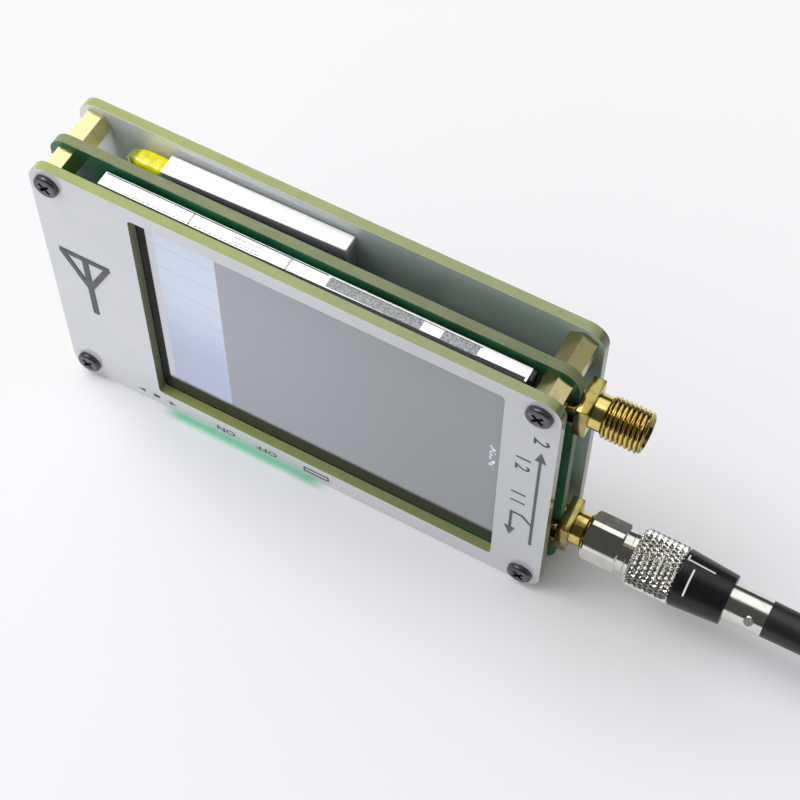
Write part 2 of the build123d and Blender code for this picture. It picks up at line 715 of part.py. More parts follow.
def make_jog_switch_body():
    half = JOG_LENGTH / 2
    body = block(
        JOG_X - half, JOG_X + half,
        BOARD_BACK_Y, BOARD_BACK_Y + JOG_HEIGHT,
        JOG_Z0, JOG_CEILING_Z + JOG_WALL,
    )
    return body - block(
        JOG_X - JOG_CAVITY_LENGTH / 2, JOG_X + JOG_CAVITY_LENGTH / 2,
        BOARD_BACK_Y + JOG_WALL, BOARD_BACK_Y + JOG_HEIGHT - JOG_WALL,
        JOG_Z0 - PAST, JOG_CEILING_Z,
    )


def make_jog_plunger():
    """A bridge with two ears and the pin that the lever rocks on."""
    half_width = JOG_PLUNGER_WIDTH / 2
    inner = JOG_LEVER_THICKNESS / 2 + JOG_GAP
    outer = inner + JOG_EAR_THICKNESS
    body = block(
        JOG_X - half_width, JOG_X + half_width, JOG_Y - outer, JOG_Y + outer,
        JOG_CROWN_Z, JOG_CROWN_Z + JOG_PLUNGER_HEIGHT,
    )
    for side in (-1, 1):
        middle = JOG_Y + side * (inner + outer) / 2
        y0 = middle - JOG_EAR_THICKNESS / 2
        y1 = middle + JOG_EAR_THICKNESS / 2
        x0 = JOG_X - JOG_EAR_RADIUS
        body += block(x0, x0 + 2 * JOG_EAR_RADIUS, y0, y1, JOG_PIVOT_Z, JOG_CROWN_Z + INTO)
        body += rod_y(JOG_X, y0, y1, JOG_PIVOT_Z, JOG_EAR_RADIUS)
    body += rod_y(JOG_X, JOG_Y - outer, JOG_Y + outer, JOG_PIVOT_Z, JOG_PIN_RADIUS)
    return body


def make_jog_lever():
    y0 = JOG_Y - JOG_LEVER_THICKNESS / 2
    y1 = JOG_Y + JOG_LEVER_THICKNESS / 2
    stem = block(
        JOG_X - JOG_STEM_WIDTH / 2, JOG_X + JOG_STEM_WIDTH / 2, y0, y1,
        EDGE_SETBACK + JOG_PAD_HEIGHT / 2, JOG_PIVOT_Z,
    )
    pad = block(
        JOG_X - JOG_PAD_WIDTH / 2, JOG_X + JOG_PAD_WIDTH / 2,
        y0 - JOG_PAD_PROUD, y1 + JOG_PAD_PROUD,
        EDGE_SETBACK, EDGE_SETBACK + JOG_PAD_HEIGHT,
    )
    pad = rounded(pad, Axis.Y, JOG_PAD_ROUND)
    body = rod_y(JOG_X, y0, y1, JOG_PIVOT_Z, JOG_HUB_RADIUS) + stem + pad
    bore_radius = JOG_PIN_RADIUS + PIN_CLEARANCE
    return body - rod_y(JOG_X, y0 - PAST, y1 + PAST, JOG_PIVOT_Z, bore_radius)


# Small parts on the main board

def lead(x, z, turn, thickness):
    """One bent lead that starts at (x, z) on a chip's side and runs outwards."""
    half = LEAD_THICKNESS / 2
    height = thickness / 2
    knee = LEAD_KNEE
    outline = Polyline(
        (0, height - half), (knee - half, height - half), (knee - half, 0), (LEAD_REACH, 0),
        (LEAD_REACH, 2 * half), (knee + half, 2 * half), (knee + half, height + half),
        (0, height + half), close=True,
    )
    strip = extrude(make_face(outline), LEAD_WIDTH / 2, both=True)
    return Pos(x, BOARD_BACK_Y, z) * Rot(0, turn, 0) * strip


def two_row_leads(place, side, thickness, count, pitch):
    x = LEFT_X + place[0]
    parts = []
    for index in range(count):
        z = place[1] + (index - (count - 1) / 2) * pitch
        parts.append(lead(x + side / 2, z, 0, thickness))
        parts.append(lead(x - side / 2, z, 180, thickness))
    return parts


def four_row_leads(place, side, thickness, count, pitch):
    x = LEFT_X + place[0]
    parts = two_row_leads(place, side, thickness, count, pitch)
    for index in range(count):
        shift = (index - (count - 1) / 2) * pitch
        parts.append(lead(x + shift, place[1] + side / 2, -90, thickness))
        parts.append(lead(x + shift, place[1] - side / 2, 90, thickness))
    return parts


CLOCK_ALONG = BATTERY_LEFT + BATTERY_LENGTH + CLOCK_BATTERY_SPACE
CLOCK_UP = PLATE_HEIGHT / 2 + CLOCK_RISE
CLOCK_PLACE = (CLOCK_ALONG, CLOCK_UP)
CLOCK_ROW_UP = PLATE_HEIGHT / 2 + CLOCK_ROW_RISE
SHIELD_START = CLOCK_ALONG + SHIELD_CLOCK_SPACE
SHIELD_LENGTH = PLATE_LENGTH - SHIELD_RIGHT_MARGIN - SHIELD_START
SHIELD_PLACE = (SHIELD_START + SHIELD_LENGTH / 2, PLATE_HEIGHT / 2)
CRYSTAL_PLACES = [CRYSTAL_PLACE, (CLOCK_ALONG, CLOCK_UP + CLOCK_CRYSTAL_RISE)]
JACK_ROW_START = (PLATE_LENGTH - JACK_ROW_MARGIN, LOWER_JACK_Z + JACK_ROW_SPACE)

# Rows of two-ended parts: place of the first, how many, and whether they stand upright
CAPACITOR_ROWS = [
    (FILTER_ROW_START, FILTER_ROW_COUNT, True),
    (CODEC_ROW_START, CODEC_ROW_COUNT, True),
    ((CLOCK_ALONG - CLOCK_CAPACITOR_SPACE, CLOCK_ROW_UP), CLOCK_ROW_COUNT, False),
    ((JACK_ROW_START[0] - CHIP_ROW_SPACING, JACK_ROW_START[1]), JACK_ROW_COUNT, False),
]
RESISTOR_ROWS = [
    ((FILTER_ROW_START[0], FILTER_ROW_START[1] + CHIP_ROW_SPACING), FILTER_ROW_COUNT, True),
    (SWITCH_ROW_START, SWITCH_ROW_COUNT, False),
    ((CLOCK_ALONG + CLOCK_RESISTOR_SPACE, CLOCK_ROW_UP), CLOCK_ROW_COUNT, False),
    (JACK_ROW_START, JACK_ROW_COUNT, False),
]


def mixer_places():
    x, z = SHIELD_PLACE
    return [(x, z + shift * SHIELD_PARTS_PITCH) for shift in (-1, 0, 1)]


def small_chip(place):
    return on_board_back(place, SMALL_CHIP_WIDTH, SMALL_CHIP_LENGTH, SMALL_CHIP_THICKNESS)


def small_chip_leads(place):
    return two_row_leads(
        place, SMALL_CHIP_WIDTH, SMALL_CHIP_THICKNESS, SMALL_CHIP_LEAD_COUNT, SMALL_CHIP_PITCH
    )


def make_controller_chip():
    return on_board_back(CONTROLLER_PLACE, CONTROLLER_SIDE, CONTROLLER_SIDE, CONTROLLER_THICKNESS)


def make_codec_chip():
    return on_board_back(CODEC_PLACE, CODEC_SIDE, CODEC_SIDE, CODEC_THICKNESS)


def make_charger_chip():
    return small_chip(CHARGER_PLACE)


def make_clock_chip():
    return on_board_back(CLOCK_PLACE, CLOCK_SIDE, CLOCK_SIDE, CLOCK_THICKNESS)


def make_mixer_chips():
    return group([small_chip(place) for place in mixer_places()])


def make_chip_leads():
    parts = four_row_leads(
        CONTROLLER_PLACE, CONTROLLER_SIDE, CONTROLLER_THICKNESS, CONTROLLER_LEAD_COUNT, FINE_PITCH
    )
    parts += two_row_leads(CLOCK_PLACE, CLOCK_SIDE, CLOCK_THICKNESS, CLOCK_LEAD_COUNT, FINE_PITCH)
    for place in [CHARGER_PLACE] + mixer_places():
        parts += small_chip_leads(place)
    return group(parts)


def make_rf_shield():
    shell = on_board_back(SHIELD_PLACE, SHIELD_LENGTH, SHIELD_HEIGHT, SHIELD_THICKNESS)
    shell = rounded(shell, Axis.Y, SHIELD_ROUND)
    inner = on_board_back(
        SHIELD_PLACE, SHIELD_LENGTH - 2 * SHIELD_WALL, SHIELD_HEIGHT - 2 * SHIELD_WALL,
        SHIELD_THICKNESS - SHIELD_WALL,
    )
    return shell - inner


def make_crystals():
    cans = [
        on_board_back(place, CRYSTAL_LENGTH, CRYSTAL_WIDTH, CRYSTAL_THICKNESS)
        for place in CRYSTAL_PLACES
    ]
    return group([rounded(can, Axis.Y, CRYSTAL_ROUND) for can in cans])


def make_inductor():
    body = on_board_back(INDUCTOR_PLACE, INDUCTOR_SIDE, INDUCTOR_SIDE, INDUCTOR_THICKNESS)
    return rounded(body, Axis.Y, INDUCTOR_ROUND)


def chip_row(start, count, upright):
    """A row of small two-ended parts that begins at a place (along, up)."""
    size_x, size_z = (CHIP_WIDTH, CHIP_LENGTH) if upright else (CHIP_LENGTH, CHIP_WIDTH)
    parts = []
    for index in range(count):
        shift = index * CHIP_PITCH
        place = (start[0] + shift, start[1]) if upright else (start[0], start[1] + shift)
        parts.append(on_board_back(place, size_x, size_z, CHIP_THICKNESS))
    return parts


def chip_rows(rows):
    return [part for row in rows for part in chip_row(*row)]


def make_capacitors():
    return group(chip_rows(CAPACITOR_ROWS))


def make_resistors():
    return group(chip_rows(RESISTOR_ROWS))


def make_status_leds():
    """Small lamps on the front of the main board, in the strip under the display."""
    z = DISPLAY_Z0 / 2
    return group([
        block(
            LEFT_X + u - LED_LENGTH / 2, LEFT_X + u + LED_LENGTH / 2,
            BOARD_FRONT_Y - LED_THICKNESS, BOARD_FRONT_Y,
            z - LED_WIDTH / 2, z + LED_WIDTH / 2,
        )
        for u in LED_PLACES
    ])


# Test lead, in line with the lower jack

NUT_LIP_X = JACK_FACE_X + PART_CLEARANCE + PLUG_SHOULDER_LENGTH + NUT_BORE_CLEARANCE
NUT_X1 = NUT_LIP_X + NUT_LIP_THICKNESS
COLLAR_X1 = NUT_X1 + NUT_BORE_CLEARANCE + COLLAR_LENGTH
RING_X0 = COLLAR_X1 + RING_CLEARANCE
RING_X1 = RING_X0 + RING_LENGTH
BARREL_X0 = RING_X1 + RING_CLEARANCE
BARREL_X1 = BARREL_X0 + BARREL_LENGTH
SLEEVE_X1 = BARREL_X1 + SLEEVE_LENGTH
BOOT_X1 = SLEEVE_X1 + BOOT_LENGTH


def coupling_nut():
    """A hexagon nut with a turned end; its lip ends at X = 0 and its mouth opens towards -X."""
    hexagon_x1 = -NUT_TURNED_LENGTH
    turned = rod_x(-NUT_LENGTH, hexagon_x1, 0, 0, NUT_CORNER_RADIUS)
    turned = chamfer(turned.edges().filter_by(GeomType.CIRCLE), NUT_CORNER_CUT)
    body = hexagon_x(-NUT_LENGTH, hexagon_x1, 0, 0, NUT_FLATS) & turned
    body += rod_x(hexagon_x1 - INTO, 0, 0, 0, NUT_TURNED_RADIUS)
    bore = JACK_THREAD_RADIUS + NUT_BORE_CLEARANCE
    body -= rod_x(-NUT_LENGTH - PAST, -NUT_LIP_THICKNESS, 0, 0, bore)
    return body - rod_x(-NUT_LENGTH - PAST, PAST, 0, 0, PLUG_TUBE_RADIUS + NUT_BORE_CLEARANCE)


def plug_front():
    """The end of a plug inside its coupling nut, with the nut's lip ending at X = 0."""
    shoulder_x1 = -NUT_LIP_THICKNESS - NUT_BORE_CLEARANCE
    shoulder_x0 = shoulder_x1 - PLUG_SHOULDER_LENGTH
    collar_x0 = NUT_BORE_CLEARANCE
    tip_x = shoulder_x0 - PLUG_TUBE_REACH
    body = rod_x(tip_x, collar_x0 + COLLAR_LENGTH, 0, 0, PLUG_TUBE_RADIUS)
    body += rod_x(shoulder_x0, shoulder_x1, 0, 0, PLUG_SHOULDER_RADIUS)
    body += rod_x(collar_x0, collar_x0 + COLLAR_LENGTH, 0, 0, COLLAR_RADIUS)
    body -= rod_x(tip_x - PAST, shoulder_x0, 0, 0, PLUG_TUBE_RADIUS - PLUG_TUBE_WALL)
    return body + rod_x(shoulder_x0 - PLUG_PIN_REACH, shoulder_x1, 0, 0, PLUG_PIN_RADIUS)


def make_lead_nut():
    return Pos(NUT_X1, JACK_Y, LOWER_JACK_Z) * coupling_nut()


def make_lead_plug():
    """The plug's front, with a core behind its collar that carries the knurled ring."""
    body = Pos(NUT_X1, JACK_Y, LOWER_JACK_Z) * plug_front()
    core_radius = RING_BORE_RADIUS - RING_CLEARANCE
    return body + rod_x(COLLAR_X1 - INTO, BARREL_X0, JACK_Y, LOWER_JACK_Z, core_radius)


def make_knurled_ring():
    y, z = JACK_Y, LOWER_JACK_Z
    body = rod_x(RING_X0, RING_X1, y, z, RING_RADIUS)
    body = chamfer(body.edges().filter_by(GeomType.CIRCLE), RING_CORNER_CUT)
    return body - rod_x(RING_X0 - PAST, RING_X1 + PAST, y, z, RING_BORE_RADIUS)


def make_lead_barrel():
    return cone_x(BARREL_X0, BARREL_X1, JACK_Y, LOWER_JACK_Z, BARREL_RADIUS, BARREL_END_RADIUS)


def make_lead_sleeve():
    y, z = JACK_Y, LOWER_JACK_Z
    body = rod_x(BARREL_X1, SLEEVE_X1, y, z, SLEEVE_RADIUS)
    stud_x = BARREL_X1 + SLEEVE_STUD_PLACE
    reach = SLEEVE_RADIUS + SLEEVE_STUD_REACH
    stud = Pos(0, 0, reach / 2) * Cylinder(SLEEVE_STUD_RADIUS, reach)
    return body + Pos(stud_x, y, z) * Rot(SLEEVE_STUD_TURN, 0, 0) * stud


def make_lead_boot():
    return cone_x(SLEEVE_X1, BOOT_X1, JACK_Y, LOWER_JACK_Z, BOOT_RADIUS, BOOT_END_RADIUS)


# The cable leaves the boot, passes over the folded part, comes down and is folded into a long flat hank.

CABLE_DIAMETER = 2 * CABLE_RADIUS
FLOOR_Z = TIE_THICKNESS + CABLE_RADIUS + CABLE_TUBE_LIFT
HANK_X0 = BOOT_X1 + HANK_AHEAD
HANK_X1 = HANK_X0 + HANK_RUN
HANK_OUTER_FOLD = HANK_FOLD_RADIUS + (HANK_TURNS - 1) * CABLE_DIAMETER
HANK_HALF_WIDTH = HANK_OUTER_FOLD + CABLE_RADIUS
HANK_Y = FRONT_FACE_Y - HANK_FRONT_REACH + HANK_HALF_WIDTH
FIRST_RUN_Y = HANK_Y - HANK_FOLD_RADIUS
LAST_RUN_Y = HANK_Y + HANK_OUTER_FOLD
FAR_AXIS_Z = NUT_CORNER_RADIUS + FAR_NUT_LIFT
DROP = LOWER_JACK_Z - FLOOR_Z

CABLE_ROUTE = [
    (BOOT_X1, JACK_Y, LOWER_JACK_Z),
    (BOOT_X1 + 9, JACK_Y, LOWER_JACK_Z),
    (BOOT_X1 + 18, JACK_Y - 0.3, LOWER_JACK_Z - 0.08 * DROP),
    (BOOT_X1 + 27, FIRST_RUN_Y - 0.2, LOWER_JACK_Z - 0.39 * DROP),
    (BOOT_X1 + 37, FIRST_RUN_Y - 0.1, LOWER_JACK_Z - 0.8 * DROP),
    (BOOT_X1 + 48, FIRST_RUN_Y, FLOOR_Z),
]
TAIL_ROUTE = [
    (HANK_X0 + 5, LAST_RUN_Y, FLOOR_Z),
    (HANK_X0 - 4, LAST_RUN_Y - 0.3, FLOOR_Z + 0.2),
    (HANK_X0 - 13, LAST_RUN_Y - 1.9, FAR_AXIS_Z),
    (HANK_X0 - 22, LAST_RUN_Y - 1.9, FAR_AXIS_Z),
]


def bend_radii(route):
    """The largest radius that each corner's two runs leave room for."""
    radii = []
    for before, corner, after in zip(route, route[1:], route[2:]):
        first = Vector(*corner) - Vector(*before)
        second = Vector(*after) - Vector(*corner)
        half_turn = math.radians(first.get_angle(second)) / 2
        radii.append(0.45 * min(first.length, second.length) / math.tan(half_turn))
    return radii


def cable_tube(route, name):
    radii = bend_radii(route)
    path = FilletPolyline(*route, radius=radii)
    tube = sweep(Plane(origin=path @ 0, z_dir=path % 0) * Circle(CABLE_RADIUS), path)
    expected = math.pi * CABLE_RADIUS ** 2 * path.length
    print(name, "radii", [round(r, 1) for r in radii], "length", round(path.length, 1),
          "volume ratio", round(tube.volume / expected, 4))
    return tube


def hank_slot(half_width):
    """The hank's outline at some distance from its middle line, as high as the cable is thick."""
    return extrude(SlotCenterToCenter(HANK_RUN, 2 * half_width), CABLE_DIAMETER)


def make_lead_hank():
    inner = HANK_HALF_WIDTH - HANK_TURNS * CABLE_DIAMETER
    ring = hank_slot(HANK_HALF_WIDTH) - hank_slot(inner)
    ring = fillet(ring.edges().filter_by(Plane.XY), HANK_EDGE_ROUND)
    return Pos((HANK_X0 + HANK_X1) / 2, HANK_Y, TIE_THICKNESS) * ring


def make_lead_ties():
    """Two straps, one round each of the hank's straight sides."""
    x0 = (HANK_X0 + HANK_X1 - TIE_WIDTH) / 2
    x1 = x0 + TIE_WIDTH
    straps = []
    for side in (-1, 1):
        y = HANK_Y + side * (HANK_HALF_WIDTH - HANK_TURNS * CABLE_RADIUS)
        half = HANK_TURNS * CABLE_RADIUS
        outer = block(
            x0, x1, y - half - TIE_THICKNESS, y + half + TIE_THICKNESS, 0, CABLE_DIAMETER + 2 * TIE_THICKNESS,
        )
        inner = block(x0 - PAST, x1 + PAST, y - half, y + half, TIE_THICKNESS, TIE_THICKNESS + CABLE_DIAMETER)
        outer = rounded(outer, Axis.X, HANK_EDGE_ROUND + TIE_THICKNESS)
        straps.append(outer - rounded(inner, Axis.X, HANK_EDGE_ROUND))
    return group(straps)


# Far end of the lead, lying before the hank and pointing towards -X

FAR_X0, FAR_Y, FAR_Z = TAIL_ROUTE[-1]
FAR_BOOT_X1 = FAR_X0 - FAR_BOOT_LENGTH
FERRULE_X1 = FAR_BOOT_X1 - FERRULE_LENGTH
FAR_NUT_X1 = FERRULE_X1 - COLLAR_LENGTH - NUT_BORE_CLEARANCE


def make_far_boot():
    return cone_x(FAR_BOOT_X1, FAR_X0, FAR_Y, FAR_Z, FERRULE_RADIUS, BOOT_END_RADIUS)


def make_far_plug():
    body = Pos(FAR_NUT_X1, FAR_Y, FAR_Z) * plug_front()
    return body + rod_x(FERRULE_X1, FAR_BOOT_X1, FAR_Y, FAR_Z, FERRULE_RADIUS)


def make_far_nut():
    return Pos(FAR_NUT_X1, FAR_Y, FAR_Z) * coupling_nut()


NODES = {
    "front_plate": make_front_plate(),
    "main_board": drilled_plate(BOARD_FRONT_Y, BOARD_THICKNESS),
    "back_plate": drilled_plate(BACK_PLATE_FRONT_Y, PLATE_THICKNESS),
    "front_standoffs": make_front_standoffs(),
    "rear_standoffs": make_rear_standoffs(),
    "front_screws": make_front_screws(),
    "rear_screws": make_rear_screws(),
    "touch_panel": make_touch_panel(),
    "display_frame": make_display_frame(),
    "display_cell": make_display_cell(),
    "display_backlight": make_backlight(),
    "display_tape": make_display_tape(),
    "display_ribbon": make_display_ribbon(),
    "upper_jack_body": jack_body(UPPER_JACK_Z),
    "lower_jack_body": jack_body(LOWER_JACK_Z),
    "jack_insulators": group([jack_insulator(z) for z in jack_heights()]),
    "jack_contacts": group([jack_contact(z) for z in jack_heights()]),
    "battery_cell": make_battery_cell(),
    "battery_board": make_battery_board(),
    "battery_pad": make_battery_pad(),
    "battery_socket": make_battery_socket(),
    "battery_plug": make_battery_plug(),
    "battery_wires": make_battery_wires(),
    "usb_shell": make_usb_shell(),
    "usb_tongue": make_usb_tongue(),
    "power_switch_body": make_power_switch_body(),
    "power_slider": make_power_slider(),
    "jog_switch_body": make_jog_switch_body(),
    "jog_plunger": make_jog_plunger(),
    "jog_lever": make_jog_lever(),
    "controller_chip": make_controller_chip(),
    "codec_chip": make_codec_chip(),
    "charger_chip": make_charger_chip(),
    "clock_chip": make_clock_chip(),
    "mixer_chips": make_mixer_chips(),
    "chip_leads": make_chip_leads(),
    "rf_shield": make_rf_shield(),
    "crystals": make_crystals(),
    "inductor": make_inductor(),
    "capacitors": make_capacitors(),
    "resistors": make_resistors(),
    "status_leds": make_status_leds(),
    "lead_nut": make_lead_nut(),
    "lead_plug": make_lead_plug(),
    "knurled_ring": make_knurled_ring(),
    "lead_barrel": make_lead_barrel(),
    "lead_sleeve": make_lead_sleeve(),
    "lead_boot": make_lead_boot(),
    "lead_cable": cable_tube(CABLE_ROUTE, "lead_cable"),
    "lead_hank": make_lead_hank(),
    "lead_ties": make_lead_ties(),
    "lead_tail": cable_tube(TAIL_ROUTE, "lead_tail"),
    "far_boot": make_far_boot(),
    "far_plug": make_far_plug(),
    "far_nut": make_far_nut(),
}

os.makedirs("parts", exist_ok=True)
for name, shape in NODES.items():
    export_step(shape, f"parts/{name}.step")
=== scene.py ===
import json
import math

import bmesh
import bpy
from mathutils import Matrix, Vector


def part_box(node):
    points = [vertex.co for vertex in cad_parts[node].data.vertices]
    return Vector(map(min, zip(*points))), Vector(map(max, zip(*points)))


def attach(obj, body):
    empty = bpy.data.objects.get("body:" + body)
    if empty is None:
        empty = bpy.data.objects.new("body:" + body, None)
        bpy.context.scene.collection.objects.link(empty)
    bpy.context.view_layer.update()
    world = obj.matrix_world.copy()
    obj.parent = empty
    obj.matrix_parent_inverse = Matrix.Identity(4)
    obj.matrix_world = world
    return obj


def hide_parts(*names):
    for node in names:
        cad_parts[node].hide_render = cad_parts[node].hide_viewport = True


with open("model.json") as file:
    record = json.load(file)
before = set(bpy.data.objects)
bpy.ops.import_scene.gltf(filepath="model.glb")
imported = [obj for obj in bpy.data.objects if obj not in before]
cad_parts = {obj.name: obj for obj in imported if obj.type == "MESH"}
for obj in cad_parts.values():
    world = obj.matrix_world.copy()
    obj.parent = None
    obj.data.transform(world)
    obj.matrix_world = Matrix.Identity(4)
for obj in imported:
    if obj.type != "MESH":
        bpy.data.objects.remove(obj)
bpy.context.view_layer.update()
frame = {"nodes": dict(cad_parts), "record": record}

MM = 0.001
X, Y, Z = range(3)
PRINT_THICKNESS = 0.02


# Places: u runs from the plates' left edge, v down from their top edge, w in from the front face

def box_mm(node):
    low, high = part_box(node)
    return low / MM, high / MM


plate_low, plate_high = box_mm("front_plate")
LEFT, FACE, TOP = plate_low.x, plate_low.y, plate_high.z
RIGHT = plate_high.x


def on_plate(u, v, w=0.0):
    return Vector((LEFT + u, FACE + w, TOP - v))


# Camera, fitted to the photograph, with its place in millimetres

CAMERA_PLACE = (81.659, -133.648, 278.879)
CAMERA_RIGHT = (0.87601, 0.48227, 0.00386)
CAMERA_UP = (-0.41622, 0.75194, 0.51122)
CAMERA_LENS = 88.995
SENSOR_WIDTH = 36.0
CLIP_START, CLIP_END = 0.01, 100.0


def make_camera():
    data = bpy.data.cameras.new("camera")
    data.lens = CAMERA_LENS
    data.sensor_width = SENSOR_WIDTH
    data.clip_start = CLIP_START
    data.clip_end = CLIP_END
    camera = bpy.data.objects.new("camera", data)
    bpy.context.scene.collection.objects.link(camera)
    right, up = Vector(CAMERA_RIGHT), Vector(CAMERA_UP)
    turn = Matrix((right, up, right.cross(up))).transposed().to_4x4()
    camera.matrix_world = Matrix.Translation(Vector(CAMERA_PLACE) * MM) @ turn
    bpy.context.scene.camera = camera


make_camera()


# Sizes of the jacks, whose places along X are counted from the plates' right edge

THREAD_PITCH = 0.706
THREAD_DEPTH = 0.42
THREAD_STEPS = 8
THREAD_SEGMENTS = 72
CREST_STEEPNESS = 1.6
FADE_START, FADE_IN, FADE_OUT = 0.3, 0.5, 0.4
JACK_SIDE, FLANGE_X, THREAD_X = 6.35, 2.0, 3.9
NECK_RADIUS, CREST_RADIUS, MOUTH_RADIUS, BORE_RADIUS, MOUTH_DEPTH = 2.65, 3.175, 2.3, 2.05, 1.9
NECK_SLOPE, LIP_LENGTH, LIP_RADIUS, RIM_RADIUS = 0.12, 0.12, 2.72, 2.62
MOUTH_BEVEL_LENGTH, MOUTH_BEVEL_WIDTH = 0.1, 0.08
LEG_WIDTH, LEG_DEPTH, LEG_OFFSET = 0.9, 1.1, 1.85
FLANGE_ROUNDING, LEG_ROUNDING, INTO_FLANGE = 0.18, 0.1, 0.1


# Finishes

SRGB_KNEE, SRGB_SLOPE, SRGB_OFFSET, SRGB_POWER = 0.04045, 12.92, 0.055, 2.4


def shade(red, green, blue):
    """A colour written as it shows on a screen, from 0 to 255, as the linear colour that a shader takes."""
    linear = []
    for value in (red, green, blue):
        part = value / 255
        curve = ((part + SRGB_OFFSET) / (1 + SRGB_OFFSET)) ** SRGB_POWER
        linear.append(part / SRGB_SLOPE if part <= SRGB_KNEE else curve)
    return (*linear, 1.0)


class Finish:
    """A node material: its shader, and short calls that add and link the nodes before it."""

    # Places of the colour sockets on a Mix node
    AMOUNT, FIRST, SECOND, MIXED = 0, 6, 7, 2

    def __init__(self, name, roughness=0.5, metallic=0.0, specular=0.5, coat=0.0, coat_roughness=0.06):
        self.material = bpy.data.materials.new(name)
        self.material.use_nodes = True
        self.tree = self.material.node_tree
        self.shader = self.tree.nodes["Principled BSDF"]
        self.shader.inputs["Roughness"].default_value = roughness
        self.shader.inputs["Metallic"].default_value = metallic
        self.shader.inputs["Specular IOR Level"].default_value = specular
        self.shader.inputs["Coat Weight"].default_value = coat
        self.shader.inputs["Coat Roughness"].default_value = coat_roughness

    def put(self, socket, value):
        if isinstance(value, bpy.types.NodeSocket):
            self.tree.links.new(value, socket)
        else:
            socket.default_value = value

    def add(self, kind, *values, **settings):
        node = self.tree.nodes.new(kind)
        for key, value in settings.items():
            setattr(node, key, value)
        for socket, value in zip(node.inputs, values):
            self.put(socket, value)
        return node

    def place(self, x=1.0, y=1.0, z=1.0):
        """Coordinates in millimetres in the row's frame, each stretched by its number."""
        source = self.add("ShaderNodeTexCoord").outputs["Object"]
        scale = (x / MM, y / MM, z / MM)
        return self.add("ShaderNodeVectorMath", source, scale, operation="MULTIPLY").outputs[0]

    def axes(self):
        return self.add("ShaderNodeSeparateXYZ", self.place()).outputs

    def facing(self, axis):
        """The part of the surface's direction along one axis, before the piece moves."""
        normal = self.add("ShaderNodeTexCoord").outputs["Normal"]
        return self.add("ShaderNodeSeparateXYZ", normal).outputs[axis]

    def math(self, operation, a, b=0.0):
        return self.add("ShaderNodeMath", a, b, operation=operation).outputs[0]

    def times(self, a, b):
        return self.math("MULTIPLY", a, b)

    def inverse(self, value):
        """1 where the value is 0, and 0 where it is 1."""
        return self.math("SUBTRACT", 1.0, value)

    def step(self, value, start, end):
        """0 below start, 1 above end and smooth between them."""
        node = self.add("ShaderNodeMapRange", value, start, end, interpolation_type="SMOOTHSTEP")
        return node.outputs[0]

    def band(self, value, low, high, soft=0.05):
        """1 between low and high."""
        rise = self.step(value, low - soft, low + soft)
        return self.times(rise, self.inverse(self.step(value, high - soft, high + soft)))

    def noise(self, scale, detail=2.0, stretch=(1.0, 1.0, 1.0)):
        """Soft noise from its waves to a millimetre, its number of finer layers and a stretch by axis."""
        node = self.add("ShaderNodeTexNoise")
        self.put(node.inputs["Vector"], self.place(*stretch))
        self.put(node.inputs["Scale"], scale)
        self.put(node.inputs["Detail"], detail)
        return node.outputs["Fac"]

    def cells(self, scale):
        """The distance from the middle of the nearest of many small cells."""
        node = self.add("ShaderNodeTexVoronoi")
        self.put(node.inputs["Vector"], self.place())
        self.put(node.inputs["Scale"], scale)
        return node.outputs["Distance"]

    def mix(self, amount, a, b):
        node = self.add("ShaderNodeMix", data_type="RGBA")
        self.put(node.inputs[self.AMOUNT], amount)
        self.put(node.inputs[self.FIRST], a)
        self.put(node.inputs[self.SECOND], b)
        return node.outputs[self.MIXED]

    def blend(self, amount, a, b):
        """A number from a to b."""
        node = self.add("ShaderNodeMapRange", amount)
        node.inputs["To Min"].default_value = a
        node.inputs["To Max"].default_value = b
        return node.outputs[0]

    def colour(self, value):
        self.put(self.shader.inputs["Base Color"], value)

    def painted(self):
        """The colour as the nodes give it so far."""
        return self.shader.inputs["Base Color"].links[0].from_socket

    def rough(self, value):
        self.put(self.shader.inputs["Roughness"], value)

    def bump(self, height, depth, strength=0.6):
        """Bumps of a height in millimetres."""
        node = self.add("ShaderNodeBump")
        node.inputs["Strength"].default_value = strength
        node.inputs["Distance"].default_value = depth * MM
        self.put(node.inputs["Height"], height)
        self.put(self.shader.inputs["Normal"], node.outputs[0])

    def glow(self, colour, strength):
        self.put(self.shader.inputs["Emission Color"], colour)
        self.shader.inputs["Emission Strength"].default_value = strength


# How far a surface has to look along an axis to count as its face or its edge
ON_FACE = (0.6, 0.8)
ON_EDGE = (0.5, 0.8)
LAYER_STRETCH = (0.12, 9.0, 0.12)
LAYER_DEPTH, LAYER_SHARE = 0.012, 0.6
CUT_ROUGHNESS = 0.6


def laminate(name, mask, mask_deep, pale, deep, mask_roughness, coat=0.0, coat_roughness=0.06):
    """A glass-fibre board: solder mask on both faces, and the thin layers of the cut on its edges."""
    finish = Finish(name, specular=0.4, coat=coat, coat_roughness=coat_roughness)
    on_face = finish.step(finish.math("ABSOLUTE", finish.facing(Y)), *ON_FACE)
    layers = finish.noise(1.0, 3.0, LAYER_STRETCH)
    mottle = finish.noise(0.35, 3.0)
    cut = finish.mix(layers, deep, pale)
    cut = finish.mix(finish.step(mottle, 0.35, 0.75), cut, finish.mix(0.5, cut, pale))
    face = finish.mix(finish.step(finish.noise(0.09, 3.0), 0.3, 0.7), mask_deep, mask)
    finish.colour(finish.mix(on_face, cut, face))
    finish.rough(finish.blend(on_face, CUT_ROUGHNESS, mask_roughness))
    grain = finish.noise(6.0, 2.0)
    finish.bump(finish.math("ADD", finish.times(layers, LAYER_SHARE), grain), LAYER_DEPTH)
    return finish


